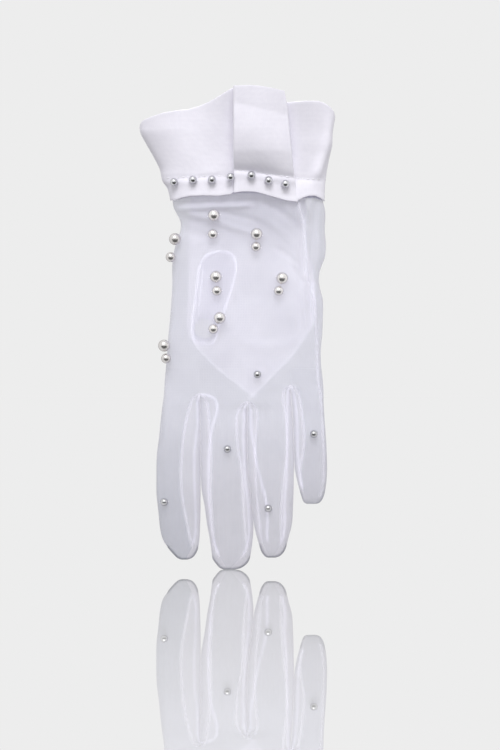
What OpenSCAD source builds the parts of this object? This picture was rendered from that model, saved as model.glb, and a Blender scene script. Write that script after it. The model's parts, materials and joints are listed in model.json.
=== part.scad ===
// Bridal glove for the left hand: sheer net hand, satin cuff with a box pleat, and sewn-on pearls.
// It hangs with the fingertips down. +X runs from the index side to the little-finger side,
// -Y is the back of the hand, +Y the palm and +Z the forearm.
// The origin is the centre of the wrist, on the line where the cuff is sewn to the net.

/* [Net] */
// Wall thickness of the net, with the air its folds hold
net_t = 0.8; // [0.6:0.1:1.0]
// Roundness of the hand's cross-section, 2 is an ellipse
hand_n = 2.4; // [2.1:0.1:2.8]
// Roundness of the fingers' cross-section
finger_n = 2.3; // [2.1:0.1:2.6]

/* [Cuff] */
// Thickness of the folded satin
satin_t = 0.9; // [0.7:0.1:1.0]
// How far the pleat's flap stands in front of the cuff
flap_off = 1.7; // [1.6:0.1:2.2]

/* [Pearls] */
// Diameter of the large pearls
large_d = 6; // [5:0.25:6.5]
// Diameter of the smaller pearls of each pair
small_d = 5; // [4:0.25:5.5]
// Diameter of the pearls in the row on the wrist
row_d = 4; // [3:0.25:4.5]
// Diameter of the single pearls on the hand and fingers
single_d = 3.8; // [3:0.2:4.2]
// Clear height of each pearl over the net, which its thread fills
shank = 0.4; // [0.3:0.1:0.6]

/* [Seams] */
// Radius of the rolled seams
seam_r = 0.4; // [0.3:0.05:0.45]
// Radius of the sewing thread
thread_r = 0.25; // [0.2:0.05:0.3]

/* [Hidden] */
ring_pts = 40;
far = 200;

// Sections from the top down. Each row is height, left x, right x, half depth.
hand_rows = [[2, -34.6, 39.6, 8.4], [-4, -34.8, 39.6, 8.5], [-10, -35.2, 39.8, 8.6],
  [-15, -34, 41.2, 8.8], [-21, -31.4, 41, 9], [-27, -32.4, 41, 9.2], [-36, -34.6, 40.6, 9.4],
  [-45, -35.6, 38.4, 9.4], [-60, -36.2, 40.2, 9.2], [-75, -37.4, 40, 9],
  [-87, -38.4, 39.4, 8.6], [-102, -39.6, 40.4, 7.6], [-112, -40.2, 40.6, 7]];
cuff_rows = [[48, -54, 48, 18], [36, -53, 47, 16.4], [28, -52.2, 45.8, 15.2],
  [24, -51.6, 45.2, 14.6], [18, -48.4, 45, 13.4], [12, -45, 43.6, 12], [6, -42, 42.4, 10.9],
  [0, -40.6, 41.6, 10.2], [-4, -38, 41.4, 10.1], [-11, -36.6, 41.2, 10.1]];
index_rows = [[-108.6, -40, -22.4, 6.4], [-114, -40.8, -21.7, 6.3], [-120, -41.5, -21.5, 6.2],
  [-132, -43, -21.4, 6.2], [-147, -43.5, -21.4, 6.2], [-159, -43.5, -21.4, 6.1],
  [-168, -42.2, -21.5, 6], [-175, -41.6, -21.6, 5.6], [-180, -40.3, -21.9, 5],
  [-185, -37, -22.8, 4], [-188.4, -33.5, -25.5, 2.6], [-189.8, -31, -28.5, 1.2]];
middle_rows = [[-111.6, -21.4, 2.2, 6.5], [-118, -21, 2.9, 6.4], [-125, -20.7, 3.4, 6.4],
  [-138, -20.5, 4.1, 6.4], [-150, -20.4, 4.7, 6.3], [-160, -19.6, 5, 6.2],
  [-168, -18.2, 5, 6.1], [-176, -17.2, 5, 5.9], [-182, -16.4, 4.6, 5.5],
  [-187, -15.8, 3.8, 4.8], [-191, -14, 2.8, 3.6], [-193.6, -11.6, 0.6, 2.4],
  [-194.9, -8.4, -3.6, 1.2]];
ring_rows = [[-111.6, 3.1, 24.4, 6.2], [-118, 3.7, 24.8, 6.2], [-125, 4.2, 25.1, 6.1],
  [-138, 4.9, 25.3, 6.1], [-150, 5.5, 25.3, 6.1], [-160, 5.8, 25.3, 6], [-166, 6, 25.1, 5.9],
  [-174, 6.5, 24.2, 5.6], [-179, 7.4, 22.4, 5], [-184, 8.8, 20.6, 4.2],
  [-187.4, 11, 17.8, 2.8], [-188.9, 13, 16, 1.3]];
little_rows = [[-103.6, 24.9, 40.4, 5.8], [-112, 25.7, 40.6, 5.7], [-120, 26, 41, 5.6],
  [-132, 26.2, 41.8, 5.6], [-144, 26.5, 42, 5.5], [-151, 27, 41.7, 5.2],
  [-156, 28.2, 40.6, 4.4], [-159.6, 30.2, 38.6, 3.2], [-161.8, 33, 36.4, 1.5]];
// The thumb lies behind the palm with its tip up.
thumb_rows = [[-34.6, -14.5, -7.5, 1.2], [-36, -18, -5, 2.6], [-39, -21, -3.4, 3.9],
  [-44, -22.8, -3.2, 4.5], [-52, -24, -5, 4.6], [-60, -24.8, -7.4, 4.6],
  [-68, -25.8, -10.2, 4.5], [-75, -26.4, -12.6, 4.4], [-79, -25.8, -13.6, 3.8],
  [-82, -23.6, -15.6, 2.4], [-82.8, -21.4, -17.6, 1.2]];
thumb_y = 15;      // middle of the thumb's depth
thumb_mouth = [-19.5, -74];
thumb_mouth_r = 5.2;

// Free outlines of the cuff's panels, as x and z.
left_outline = [[-60, -11], [-34, -10], [-27, -8], [-20, -7.6], [-12, -8], [4, -7], [4, 44],
  [-5, 44.5], [-13, 40], [-21, 36.5], [-27, 35], [-39, 33.5], [-50, 30], [-60, 28]];
flap_outline = [[-4.5, -7], [2, -6], [10, -7], [17, -9], [27, -10.8], [25, 5.5], [23, 23],
  [22, 35.5], [20, 45], [-4.5, 47.4]];
right_outline = [[6, -8], [22, -10], [27, -10.8], [33, -8], [38.5, -8], [60, -11], [60, 26],
  [46, 32.5], [45.5, 35], [41, 38], [38, 39], [28, 38.8], [22, 38], [6, 38]];
back_outline = [[-60, -9.5], [-30, -10.5], [0, -8.5], [30, -10], [60, -9.5], [60, 30],
  [46, 33], [20, 34.5], [-20, 33.5], [-50, 29], [-60, 27]];
palm_outline = [[-60, 2], [60, 2], [60, -103], [24.2, -103], [24.2, -111], [-21.2, -111],
  [-21.2, -108], [-60, -108]];
lining_outline = [[-26, 0], [-26, -78], [-14, -92.5], [5, -107.4], [22.5, -89.5], [29, -80],
  [35, -71], [35, -50], [31, -30], [31, 0]];

// Seam lines, as x and z, from the web to the tip.
index_seam = [[-24, -108.6], [-27, -113], [-29, -126], [-30.5, -140], [-31, -150],
  [-28.5, -166], [-25.4, -180]];
index_palm_seam = [[-22.8, -112], [-23.6, -126], [-24.5, -140], [-24.4, -150], [-24, -166],
  [-24, -180]];
middle_seam_a = [[-20.5, -111.6], [-17.8, -115], [-16.2, -128], [-16, -146], [-15.4, -164],
  [-14.8, -182]];
middle_seam_b = [[-0.4, -111.6], [-2.4, -117], [-3, -130], [-1, -144], [-0.5, -160],
  [0, -178]];
ring_seam_a = [[5.4, -111.6], [7.8, -113.5], [8, -130], [8.2, -146], [8.8, -162],
  [9.8, -176]];
ring_seam_b = [[21, -111.6], [21.6, -118], [21.4, -136], [20.2, -154], [19.4, -174],
  [19, -182]];
little_seam_a = [[27.6, -106], [28.8, -113], [30, -128], [29.4, -140], [28.6, -150],
  [30, -156]];
little_seam_b = [[37.4, -104], [38, -118], [38.8, -130], [39.4, -144], [38.6, -153]];
side_seam = [[29, -12], [31, -22], [31.6, -34], [32, -45], [34.4, -58], [36.4, -70],
  [36.8, -86], [37.4, -102]];

// Pearls, as x and z.
row_at = [[-34.5, -1], [-25, 0], [-15.5, 0], [-6, 1.2], [4.2, 2], [12.8, -0.5], [21.2, -2.2]];
large_at = [[-14.5, -17.8], [6.8, -27.2], [-34, -29.5], [-13.5, -48.5], [19.5, -49.2],
  [-11.6, -69], [-39.5, -82.8]];
small_at = [[-15, -27.2], [6.5, -33.5], [-36.2, -38.5], [-13, -55.5], [17.8, -55.5],
  [-14.8, -74.5], [-38.5, -89.2]];

// Value of column c of a table at height z.
function at(rows, z, c) = lookup(z, [for (r = rows) [r[0], r[c]]]);
function spow(v, p) = (v < 0 ? -1 : 1) * pow(abs(v), p);

// Depth of the cross-section's edge at x and z, for a wall moved out by off.
function edge_y(rows, n, x, z, off) =
  let (x0 = at(rows, z, 1) - off, x1 = at(rows, z, 2) + off, b = at(rows, z, 3) + off,
    u = min(0.995, abs((x - (x0 + x1) / 2) / ((x1 - x0) / 2))))
  b * pow(1 - pow(u, n), 1 / n);

// Closed solid through the rows, grown by off, with its middle at depth yc.
module loft(rows, n, off = 0, yc = 0, up = 0, down = 0) {
  cnt = len(rows);
  st = [for (k = [cnt - 1:-1:0]) let (r = rows[k],
    z = r[0] + (k == 0 ? up : 0) - (k == cnt - 1 ? down : 0))
    [z, (r[1] + r[2]) / 2, max(0.35, (r[2] - r[1]) / 2 + off), max(0.25, r[3] + off)]];
  pts = [for (s = st) for (i = [0:ring_pts - 1]) let (t = 360 * i / ring_pts)
    [s[1] + s[2] * spow(cos(t), 2 / n), yc + s[3] * spow(sin(t), 2 / n), s[0]]];
  side = [for (k = [0:cnt - 2]) for (i = [0:ring_pts - 1])
    let (j = (i + 1) % ring_pts, a = k * ring_pts, b = a + ring_pts)
    each [[a + i, b + i, b + j], [a + i, b + j, a + j]]];
  caps = [[for (i = [0:ring_pts - 1]) i],
    [for (i = [ring_pts - 1:-1:0]) (cnt - 1) * ring_pts + i]];
  polyhedron(points = pts, faces = concat(side, caps), convexity = 8);
}

// Rows of a closed tip, drawn in by t for the inside of its wall.
function drawn_in(rows, t) = let (c = len(rows))
  [for (k = [0:c - 1]) let (r = rows[k]) [r[0] + (k == c - 1 ? t * 0.9 : 0), r[1], r[2], r[3]]];

// Tube that is open at its top and closed at its tip.
module finger_shell(rows) {
  difference() {
    loft(rows, finger_n);
    loft(drawn_in(rows, net_t), finger_n, -net_t, 0, 1);
  }
}

// Slab in front of (side < 0) or behind the middle plane, over an outline of x and z.
module slab(outline, side, clear = 0.05) {
  translate([0, side < 0 ? -clear : far + clear, 0]) rotate([90, 0, 0])
    linear_extrude(far) polygon(outline);
}

// Band of the front or palm side that lies beyond a seam line, towards x = to.
module strip(path, to, side, top, bottom) {
  c = len(path);
  slab(concat([[path[0][0], top]], path, [[path[c - 1][0], bottom], [to, bottom], [to, top]]), side, 0);
}

// Region of an index-like side strip, front and palm together.
module side_region(front_path, palm_path, to, top, bottom) {
  strip(front_path, to, -1, top, bottom);
  strip(palm_path, to, 1, top, bottom);
}

// Rolled seam that follows a line on the front (side -1) or palm (side 1) of a wall.
module seam(rows, n, path, side = -1, r = seam_r, lift = 0.12, sides = 6) {
  c = len(path);
  fine = [for (k = [0:c - 2]) for (s = [0:0.25:0.8])
    path[k] * (1 - s) + path[k + 1] * s];
  line = concat(fine, [path[c - 1]]);
  p3 = [for (p = line) [p[0], side * edge_y(rows, n, p[0], p[1], r + lift), p[1]]];
  m = len(p3);
  pts = [for (k = [0:m - 1]) let (
    a = p3[max(0, k - 1)], b = p3[min(m - 1, k + 1)], d = (b - a) / norm(b - a),
    u = cross(d, [0, 1, 0]) / norm(cross(d, [0, 1, 0])), v = cross(d, u))
    for (i = [0:sides - 1]) p3[k] + r * (cos(360 * i / sides) * u + sin(360 * i / sides) * v)];
  side_f = [for (k = [0:m - 2]) for (i = [0:sides - 1])
    let (j = (i + 1) % sides, a = k * sides, b = a + sides)
    each [[a + i, b + j, b + i], [a + i, a + j, b + j]]];
  caps = [[for (i = [sides - 1:-1:0]) i], [for (i = [0:sides - 1]) (m - 1) * sides + i]];
  polyhedron(points = pts, faces = concat(side_f, caps), convexity = 4);
}

module pearl(x, y, z, d) { translate([x, y, z]) sphere(d = d, $fn = 48); }

// Pearl on the back of a wall, lifted by its shank.
module pearl_on(rows, n, p, d, off = 0) {
  pearl(p[0], -edge_y(rows, n, p[0], p[1], off) - d / 2 - shank, p[1], d);
}

module cuff_shell(grow = 0) {
  difference() {
    loft(cuff_rows, hand_n, grow);
    loft(cuff_rows, hand_n, grow - satin_t, 0, 1, 1);
  }
}

module cuff_left_panel() {
  color([0.93, 0.92, 0.96]) intersection() { cuff_shell(); slab(left_outline, -1); }
}
module cuff_pleat_flap() {
  color([0.90, 0.89, 0.93]) intersection() { cuff_shell(flap_off); slab(flap_outline, -1); }
}
module cuff_right_panel() {
  color([0.90, 0.89, 0.93]) intersection() { cuff_shell(); slab(right_outline, -1); }
}
module cuff_back_panel() {
  color([0.86, 0.86, 0.90]) intersection() { cuff_shell(); slab(back_outline, 1); }
}
// Stitches run between the row pearls, in front of the cuff and of the flap.
module wrist_stitching() {
  color([0.80, 0.80, 0.85])
    for (x = [-30:3.2:37])
      let (on_flap = x > -4.6 && x < 25, z = on_flap ? 0.6 : 0,
        ya = -edge_y(cuff_rows, hand_n, x - 1, z, (on_flap ? flap_off : 0) + thread_r + 0.1),
        yb = -edge_y(cuff_rows, hand_n, x + 1, z, (on_flap ? flap_off : 0) + thread_r + 0.1))
        if (min([for (p = row_at) abs(p[0] - x)]) > 2.1 && abs(x + 4.6) > 1.2 && abs(x - 25.6) > 1.4)
          translate([x, (ya + yb) / 2, z]) rotate([0, 0, atan2(yb - ya, 2)])
            rotate([0, 90, 0]) cylinder(r = thread_r, h = 2, center = true, $fn = 16);
}
module wrist_row_pearls() {
  color([0.92, 0.92, 0.94])
    for (p = row_at)
      pearl_on(cuff_rows, hand_n, p, row_d,
        p[0] < -8 ? 0 : p[0] < -4.6 ? flap_off - 0.5 : flap_off);
}
module hand_net() {
  color([0.85, 0.85, 0.89, 0.7]) difference() {
    intersection() {
      difference() {
        loft(hand_rows, hand_n);
        loft(hand_rows, hand_n, -net_t, 0, 1, 1);
      }
      translate([0, far / 2, 0]) rotate([90, 0, 0]) linear_extrude(far) polygon(palm_outline);
    }
    translate([thumb_mouth[0], 3, thumb_mouth[1]]) rotate([-90, 0, 0])
      cylinder(r = thumb_mouth_r, h = 12, $fn = 48);
  }
}
// Second layer, which lies inside the palm and ends in a point.
module palm_lining() {
  color([0.90, 0.89, 0.93, 0.7]) difference() {
    intersection() {
      difference() {
        loft(hand_rows, hand_n, -net_t - 0.2);
        loft(hand_rows, hand_n, -net_t - 0.8, 0, 1, 1);
      }
      slab(lining_outline, 1, 1);
    }
    translate([thumb_mouth[0], 3, thumb_mouth[1]]) rotate([-90, 0, 0])
      cylinder(r = thumb_mouth_r + 0.3, h = 12, $fn = 48);
  }
}
module lining_seam() {
  color([0.95, 0.95, 0.98])
    seam(hand_rows, hand_n, [[-24, -81], [-14, -93.5], [4.6, -108.2], [21, -91.6], [28, -81.5], [34, -72]],
      1, 0.35, 0.1);
}
module hand_side_seam() { color([0.95, 0.95, 0.98]) seam(hand_rows, hand_n, side_seam); }
module thumb_net() {
  color([0.87, 0.86, 0.90, 0.7]) difference() {
    loft(thumb_rows, finger_n, 0, thumb_y);
    difference() {
      loft(thumb_rows, finger_n, -net_t, thumb_y);
      translate([-100, 0, -35.6]) cube([200, 40, 10]);
      translate([-100, 0, -92]) cube([200, 40, 10]);
    }
    translate([thumb_mouth[0], thumb_y - 8, thumb_mouth[1]]) rotate([-90, 0, 0])
      cylinder(r = thumb_mouth_r, h = 8, $fn = 48);
  }
}
// Ring of seam between the thumb and the palm.
module thumb_seam() {
  color([0.95, 0.95, 0.98])
    translate([thumb_mouth[0], 9.7, thumb_mouth[1]]) rotate([-90, 0, 0])
      rotate_extrude($fn = 48) translate([thumb_mouth_r + 0.7, 0]) circle(r = 0.35, $fn = 16);
}
module index_net() {
  color([0.81, 0.81, 0.85, 0.7]) difference() {
    finger_shell(index_rows);
    side_region(index_seam, index_palm_seam, 0, -100, -200);
  }
}
module index_fourchette() {
  color([0.87, 0.87, 0.91, 0.7]) intersection() {
    finger_shell(index_rows);
    translate([0.1, 0, 0]) side_region(index_seam, index_palm_seam, 0, -100, -200);
  }
}
module index_seams() { color([0.95, 0.95, 0.98]) seam(index_rows, finger_n, index_seam); }
module middle_net() {
  color([0.79, 0.79, 0.83, 0.7]) difference() {
    finger_shell(middle_rows);
    side_region(middle_seam_a, middle_seam_a, -60, -100, -200);
    side_region(middle_seam_b, middle_seam_b, 60, -100, -200);
  }
}
module middle_fourchette_index_side() {
  color([0.87, 0.87, 0.91, 0.7]) intersection() {
    finger_shell(middle_rows);
    translate([-0.1, 0, 0]) side_region(middle_seam_a, middle_seam_a, -60, -100, -200);
  }
}
module middle_fourchette_ring_side() {
  color([0.87, 0.87, 0.91, 0.7]) intersection() {
    finger_shell(middle_rows);
    translate([0.1, 0, 0]) side_region(middle_seam_b, middle_seam_b, 60, -100, -200);
  }
}
module middle_seams() {
  color([0.95, 0.95, 0.98]) {
    seam(middle_rows, finger_n, middle_seam_a);
    seam(middle_rows, finger_n, middle_seam_b);
  }
}
module ring_net() {
  color([0.80, 0.79, 0.83, 0.7]) difference() {
    finger_shell(ring_rows);
    side_region(ring_seam_a, ring_seam_a, -60, -100, -200);
    side_region(ring_seam_b, ring_seam_b, 60, -100, -200);
  }
}
module ring_fourchette_middle_side() {
  color([0.87, 0.87, 0.91, 0.7]) intersection() {
    finger_shell(ring_rows);
    translate([-0.1, 0, 0]) side_region(ring_seam_a, ring_seam_a, -60, -100, -200);
  }
}
module ring_fourchette_little_side() {
  color([0.87, 0.87, 0.91, 0.7]) intersection() {
    finger_shell(ring_rows);
    translate([0.1, 0, 0]) side_region(ring_seam_b, ring_seam_b, 60, -100, -200);
  }
}
module ring_seams() {
  color([0.95, 0.95, 0.98]) {
    seam(ring_rows, finger_n, ring_seam_a);
    seam(ring_rows, finger_n, ring_seam_b);
  }
}
module little_net() {
  color([0.80, 0.80, 0.84, 0.7]) difference() {
    finger_shell(little_rows);
    side_region(little_seam_a, little_seam_a, -60, -100, -200);
  }
}
module little_fourchette() {
  color([0.87, 0.87, 0.91, 0.7]) intersection() {
    finger_shell(little_rows);
    translate([-0.1, 0, 0]) side_region(little_seam_a, little_seam_a, -60, -100, -200);
  }
}
module little_seams() {
  color([0.95, 0.95, 0.98]) {
    seam(little_rows, finger_n, little_seam_a);
    seam(little_rows, finger_n, little_seam_b);
  }
}
// Two pairs hang at the index edge of the hand, where the back turns into the side.
module large_pearls() {
  color([0.94, 0.93, 0.93])
    for (p = large_at)
      if (p[0] < -30) pearl(p[0], -7, p[1], large_d);
      else pearl_on(hand_rows, hand_n, p, large_d);
}
module small_pearls() {
  color([0.93, 0.93, 0.94])
    for (p = small_at)
      if (p[0] < -30) pearl(p[0], -6.5, p[1], small_d);
      else pearl_on(hand_rows, hand_n, p, small_d);
}
module hand_single_pearl() {
  color([0.86, 0.86, 0.88]) pearl_on(hand_rows, hand_n, [7.2, -97.2], single_d);
}
module index_pearl() {
  color([0.86, 0.86, 0.88]) pearl_on(index_rows, finger_n, [-39.4, -161], single_d);
}
module middle_pearl() {
  color([0.86, 0.86, 0.88]) pearl_on(middle_rows, finger_n, [-7.8, -134.5], single_d);
}
module ring_pearl() {
  color([0.86, 0.86, 0.88]) pearl_on(ring_rows, finger_n, [12.6, -164.2], single_d);
}
module little_pearl() {
  color([0.86, 0.86, 0.88]) pearl_on(little_rows, finger_n, [35.4, -127], single_d);
}
// Thread shanks between the net and the pearls of the hand.
module pearl_threads() {
  color([0.90, 0.90, 0.93])
    for (p = concat(large_at, small_at, [[7.2, -97.2]]))
      if (p[0] > -30)
        translate([p[0], -edge_y(hand_rows, hand_n, p[0], p[1], 0) - shank + 0.06, p[1]])
          rotate([-90, 0, 0]) cylinder(r = 0.45, h = shank - 0.12, $fn = 16);
}

cuff_left_panel();
cuff_pleat_flap();
cuff_right_panel();
cuff_back_panel();
wrist_stitching();
wrist_row_pearls();
hand_net();
palm_lining();
lining_seam();
hand_side_seam();
thumb_net();
thumb_seam();
index_net();
index_fourchette();
index_seams();
middle_net();
middle_fourchette_index_side();
middle_fourchette_ring_side();
middle_seams();
ring_net();
ring_fourchette_middle_side();
ring_fourchette_little_side();
ring_seams();
little_net();
little_fourchette();
little_seams();
large_pearls();
small_pearls();
hand_single_pearl();
index_pearl();
middle_pearl();
ring_pearl();
little_pearl();
pearl_threads();
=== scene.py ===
import bpy, bmesh, json, math
import numpy as np
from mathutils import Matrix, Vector

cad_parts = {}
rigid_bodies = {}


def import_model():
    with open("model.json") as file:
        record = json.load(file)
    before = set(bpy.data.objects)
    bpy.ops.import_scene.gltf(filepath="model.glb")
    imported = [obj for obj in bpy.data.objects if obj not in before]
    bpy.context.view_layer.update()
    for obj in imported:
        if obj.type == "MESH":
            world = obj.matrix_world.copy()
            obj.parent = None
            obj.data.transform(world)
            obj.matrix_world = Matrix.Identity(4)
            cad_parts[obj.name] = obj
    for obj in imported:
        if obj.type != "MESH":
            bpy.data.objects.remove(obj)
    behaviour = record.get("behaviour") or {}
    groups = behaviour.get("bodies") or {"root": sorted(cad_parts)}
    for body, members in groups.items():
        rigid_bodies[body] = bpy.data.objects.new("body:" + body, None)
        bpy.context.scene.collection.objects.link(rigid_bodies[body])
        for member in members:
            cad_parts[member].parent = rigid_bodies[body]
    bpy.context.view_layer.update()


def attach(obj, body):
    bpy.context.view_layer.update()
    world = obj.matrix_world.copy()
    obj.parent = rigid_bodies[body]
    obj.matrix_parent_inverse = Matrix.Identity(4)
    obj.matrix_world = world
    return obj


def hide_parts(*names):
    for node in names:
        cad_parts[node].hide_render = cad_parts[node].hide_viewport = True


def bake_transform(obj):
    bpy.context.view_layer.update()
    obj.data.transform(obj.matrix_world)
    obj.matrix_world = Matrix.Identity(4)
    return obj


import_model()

MM = 0.001


# ---------------------------------------------------------------- tables
def spline(rows, per=10):
    """Catmull-Rom through the rows, per samples to a segment."""
    r = np.array(rows, float)
    p = np.vstack([2 * r[0] - r[1], r, 2 * r[-1] - r[-2]])
    out = []
    for k in range(1, len(p) - 2):
        for s in range(per):
            t = s / per
            a, b, c, d = p[k - 1], p[k], p[k + 1], p[k + 2]
            out.append(0.5 * (2 * b + (c - a) * t + (2 * a - 5 * b + 4 * c - d) * t * t
                              + (3 * b - a - 3 * c + d) * t ** 3))
    out.append(r[-1])
    o = np.array(out)
    for k in range(1, len(o)):           # heights never turn back
        o[k, 0] = min(o[k, 0], o[k - 1, 0] - 1e-4)
    return o


def smooth(a, b, x):
    t = np.clip((np.asarray(x, float) - a) / (b - a), 0, 1)
    return t * t * (3 - 2 * t)


def se(u, n):
    return np.maximum(0.0, 1 - np.abs(np.clip(u, -1, 1)) ** n) ** (1 / n)


Z_TOP = -94.0
HAND = [(3, -34.6, 39.4, 8.3), (-4, -35.0, 39.6, 8.5), (-9, -35.4, 40.0, 8.6),
        (-13, -35.0, 40.9, 8.7), (-16, -33.6, 41.4, 8.8), (-19, -32.0, 41.4, 8.9),
        (-22, -31.3, 41.2, 9.0), (-26, -31.8, 41.2, 9.1), (-32, -33.9, 41.7, 9.3),
        (-38, -35.2, 41.3, 9.4), (-42, -35.6, 39.8, 9.4), (-47, -35.6, 38.3, 9.4),
        (-53, -35.6, 38.5, 9.3), (-60, -36.0, 40.2, 9.2), (-68, -36.6, 40.2, 9.1),
        (-76, -37.4, 39.9, 9.0), (-86, -38.2, 39.1, 8.7), (-94, -38.8, 39.4, 8.3),
        (-102, -39.5, 40.3, 7.8), (-110, -40.0, 40.5, 7.4), (-116, -40.8, 40.8, 7.2)]
FINGERS = {
    "index": [(-94, -38.8, -21.7, 6.6), (-102, -39.5, -21.7, 6.5), (-107.5, -39.8, -21.72, 6.4),
              (-114, -40.7, -21.55, 6.3), (-122, -41.6, -21.42, 6.2), (-130, -42.4, -21.35, 6.2),
              (-138, -43.4, -21.32, 6.2), (-148, -43.6, -21.3, 6.2), (-158, -43.5, -21.3, 6.1),
              (-166, -42.6, -21.35, 5.9), (-174, -41.8, -21.6, 5.5), (-180, -40.4, -21.9, 5.0),
              (-184, -37.8, -22.5, 4.3), (-187, -35.4, -23.6, 3.3), (-189.2, -33.2, -25.4, 1.9),
              (-190.1, -31.4, -27.6, 0.0)],
    "middle": [(-94, -21.7, 2.3, 6.8), (-102, -21.7, 2.3, 6.8), (-107.5, -21.68, 2.26, 6.7),
               (-111.5, -21.56, 2.2, 6.6), (-120, -21.38, 2.12, 6.4), (-130, -21.27, 2.1, 6.4),
               (-140, -21.24, 2.2, 6.4), (-150, -21.2, 2.9, 6.3), (-156, -20.7, 3.6, 6.2),
               (-163, -19.4, 4.5, 6.1), (-173, -18.0, 5.25, 5.9), (-180, -16.7, 4.9, 5.5),
               (-186, -15.9, 4.1, 4.9), (-189.5, -15.3, 3.4, 4.2), (-192.2, -13.6, 1.9, 3.2),
               (-194.3, -11.7, -0.9, 1.8), (-195.1, -9.8, -4.0, 0.0)],
    "ring": [(-94, 2.3, 23.6, 6.6), (-103, 2.3, 23.8, 6.5), (-111.5, 2.24, 24.3, 6.3),
             (-120, 2.2, 24.9, 6.2), (-130, 2.18, 25.3, 6.1), (-140, 2.3, 25.6, 6.1),
             (-150, 2.95, 25.5, 6.1), (-156, 3.64, 25.4, 6.0), (-163, 4.55, 25.2, 5.9),
             (-172, 5.35, 24.7, 5.7), (-178, 6.7, 23.2, 5.2), (-183, 8.2, 21.9, 4.5),
             (-186.2, 9.3, 20.6, 3.5), (-188.3, 10.8, 18.6, 2.0), (-189.1, 12.0, 16.6, 0.0)],
    "little": [(-94, 23.6, 39.4, 6.0), (-103, 23.85, 40.35, 5.9), (-110, 24.4, 40.5, 5.8),
               (-118, 24.95, 40.9, 5.7), (-126, 25.3, 41.5, 5.6), (-134, 25.5, 42.0, 5.6),
               (-143, 25.8, 42.3, 5.4), (-149, 26.8, 42.1, 5.1), (-154.5, 28.2, 41.5, 4.4),
               (-159, 29.6, 40.3, 3.2), (-161.3, 30.6, 38.8, 1.7), (-162.1, 31.8, 37.2, 0.0)],
}
# heights where neighbouring fingers part: (left side, right side), and of the seam's arch above
CROTCH = {"index": (-115, -111.5), "middle": (-111.5, -115.5), "ring": (-115.5, -107),
          "little": (-107, -115)}
ORDER = ["index", "middle", "ring", "little"]
HD = spline(HAND)
FD = {k: spline(v) for k, v in FINGERS.items()}


def col(tab, z, c):
    return np.interp(-np.asarray(z, float), -tab[:, 0], tab[:, c])


def hand_edges(z):
    """Left and right edge of the hand; the index and little fingers give them below the knuckles."""
    z = np.asarray(z, float)
    l = np.where(z < Z_TOP, col(FD["index"], z, 1), col(HD, z, 1))
    r = np.where(z < Z_TOP, col(FD["little"], z, 2), col(HD, z, 2))
    return l, r


def f_hand(x, z):
    l, r = hand_edges(z)
    return col(HD, z, 3) * se((x - (l + r) / 2) / ((r - l) / 2), 2.4)


FOLDS = [  # (x, z) along the fold, its height and its half width
    ([(-33, -10.4), (-24, -11.4), (-12, -10.6), (0, -9.6), (8, -9.5)], -1.3, 1.7),
    ([(-34, -14.6), (-27, -14.2), (-20, -13.8), (-8, -13.4), (6, -12.6)], 1.5, 1.5),
    ([(-31, -16.2), (-19, -19.0), (-10, -22.2), (4, -26.4), (13, -29)], 1.0, 1.9),
    ([(-18, -14.8), (-8, -16.8), (4, -19.7), (12, -23)], -0.8, 1.8),
    ([(-31, -24), (-25, -26.5), (-18, -28.5), (-10, -31)], -0.6, 2.6),
    ([(9, -10.5), (14, -12.6), (20, -16.4), (25, -21.0), (30, -27)], -1.3, 2.4),
    ([(6, -17), (12, -20.6), (18, -24.6), (24, -30.0), (30, -37)], 0.8, 2.8),
    ([(14, -33), (20, -36), (25, -40), (31, -46)], -0.8, 2.0),
    ([(22, -41), (26, -45), (30, -51), (33, -57), (36.5, -64)], -1.1, 1.5),
    ([(-2, -80), (10, -84), (22, -82), (32, -78)], 0.5, 3.2),
]
SIDE_Z = [4, 12, 21, 33, 46, 52, 58, 65, 76, 88, 98, 106]
SIDE_X = [27.0, 27.8, 30.3, 31.3, 31.7, 33.4, 35.4, 36.2, 36.6, 36.9, 37.4, 38.3]


def wrinkle(x, z, side):
    """Soft folds of the cloth, in mm outwards, the same for every piece so that their edges meet."""
    x, z = np.asarray(x, float), np.asarray(z, float)
    d = 0.30 * np.sin(x / 8.1 + z / 19 + 0.7) * np.sin(z / 13.0 + x / 31)
    d += 0.16 * np.sin(x / 3.7 - z / 41) * np.sin(z / 29.0 + 1.3)
    # gathers that run down from the wrist seam
    g = smooth(-34, -6, z)
    d += g * (0.34 * np.sin(x / 1.55 + 0.8 * np.sin(x / 9)) + 0.25 * np.sin(x / 3.3 + 2 + z / 30))
    # what the wrist seam gathers: ridges and hollows under the band, from the pinch at the index edge
    if side < 0:
        for pts, amp, wid in FOLDS:
            pts = np.array(pts, float)
            zc = np.interp(x, pts[:, 0], pts[:, 1])
            ends = smooth(pts[0, 0] - 1, pts[0, 0] + 5, x) * smooth(pts[-1, 0] + 1, pts[-1, 0] - 7, x)
            d += amp * ends * np.exp(-((z - zc) / wid) ** 2)
        xs = np.interp(-z, SIDE_Z, SIDE_X)
        vv = smooth(-92, -60, z) * smooth(-6, -12, z)
        d += vv * (-1.3 * np.exp(-((x - xs - 1.9) / 0.8) ** 2) + 0.9 * np.exp(-((x - xs - 4.2) / 1.0) ** 2))
    else:
        d += 0.6 * np.exp(-((z + 19) / 3.4) ** 2)
    # upright wrinkles beside the side seam
    v = smooth(25, 30, x) * smooth(-86, -68, z) * smooth(-6, -14, z)
    d += v * (0.85 * np.sin((x - 0.045 * z) / 0.86) + 0.6 * np.sin(z / 6.0 + x))
    # long shallow folds on the fingers
    k = smooth(-108, -124, z)
    d += k * (0.26 * np.sin(x / 1.05 + 0.9 * np.sin(z / 17 + x / 11)) + 0.22 * np.sin(x / 2.6 - z / 14)
              + 0.18 * np.sin(z / 4.6 + 0.35 * x) * smooth(-150, -178, z))
    return d


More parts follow.
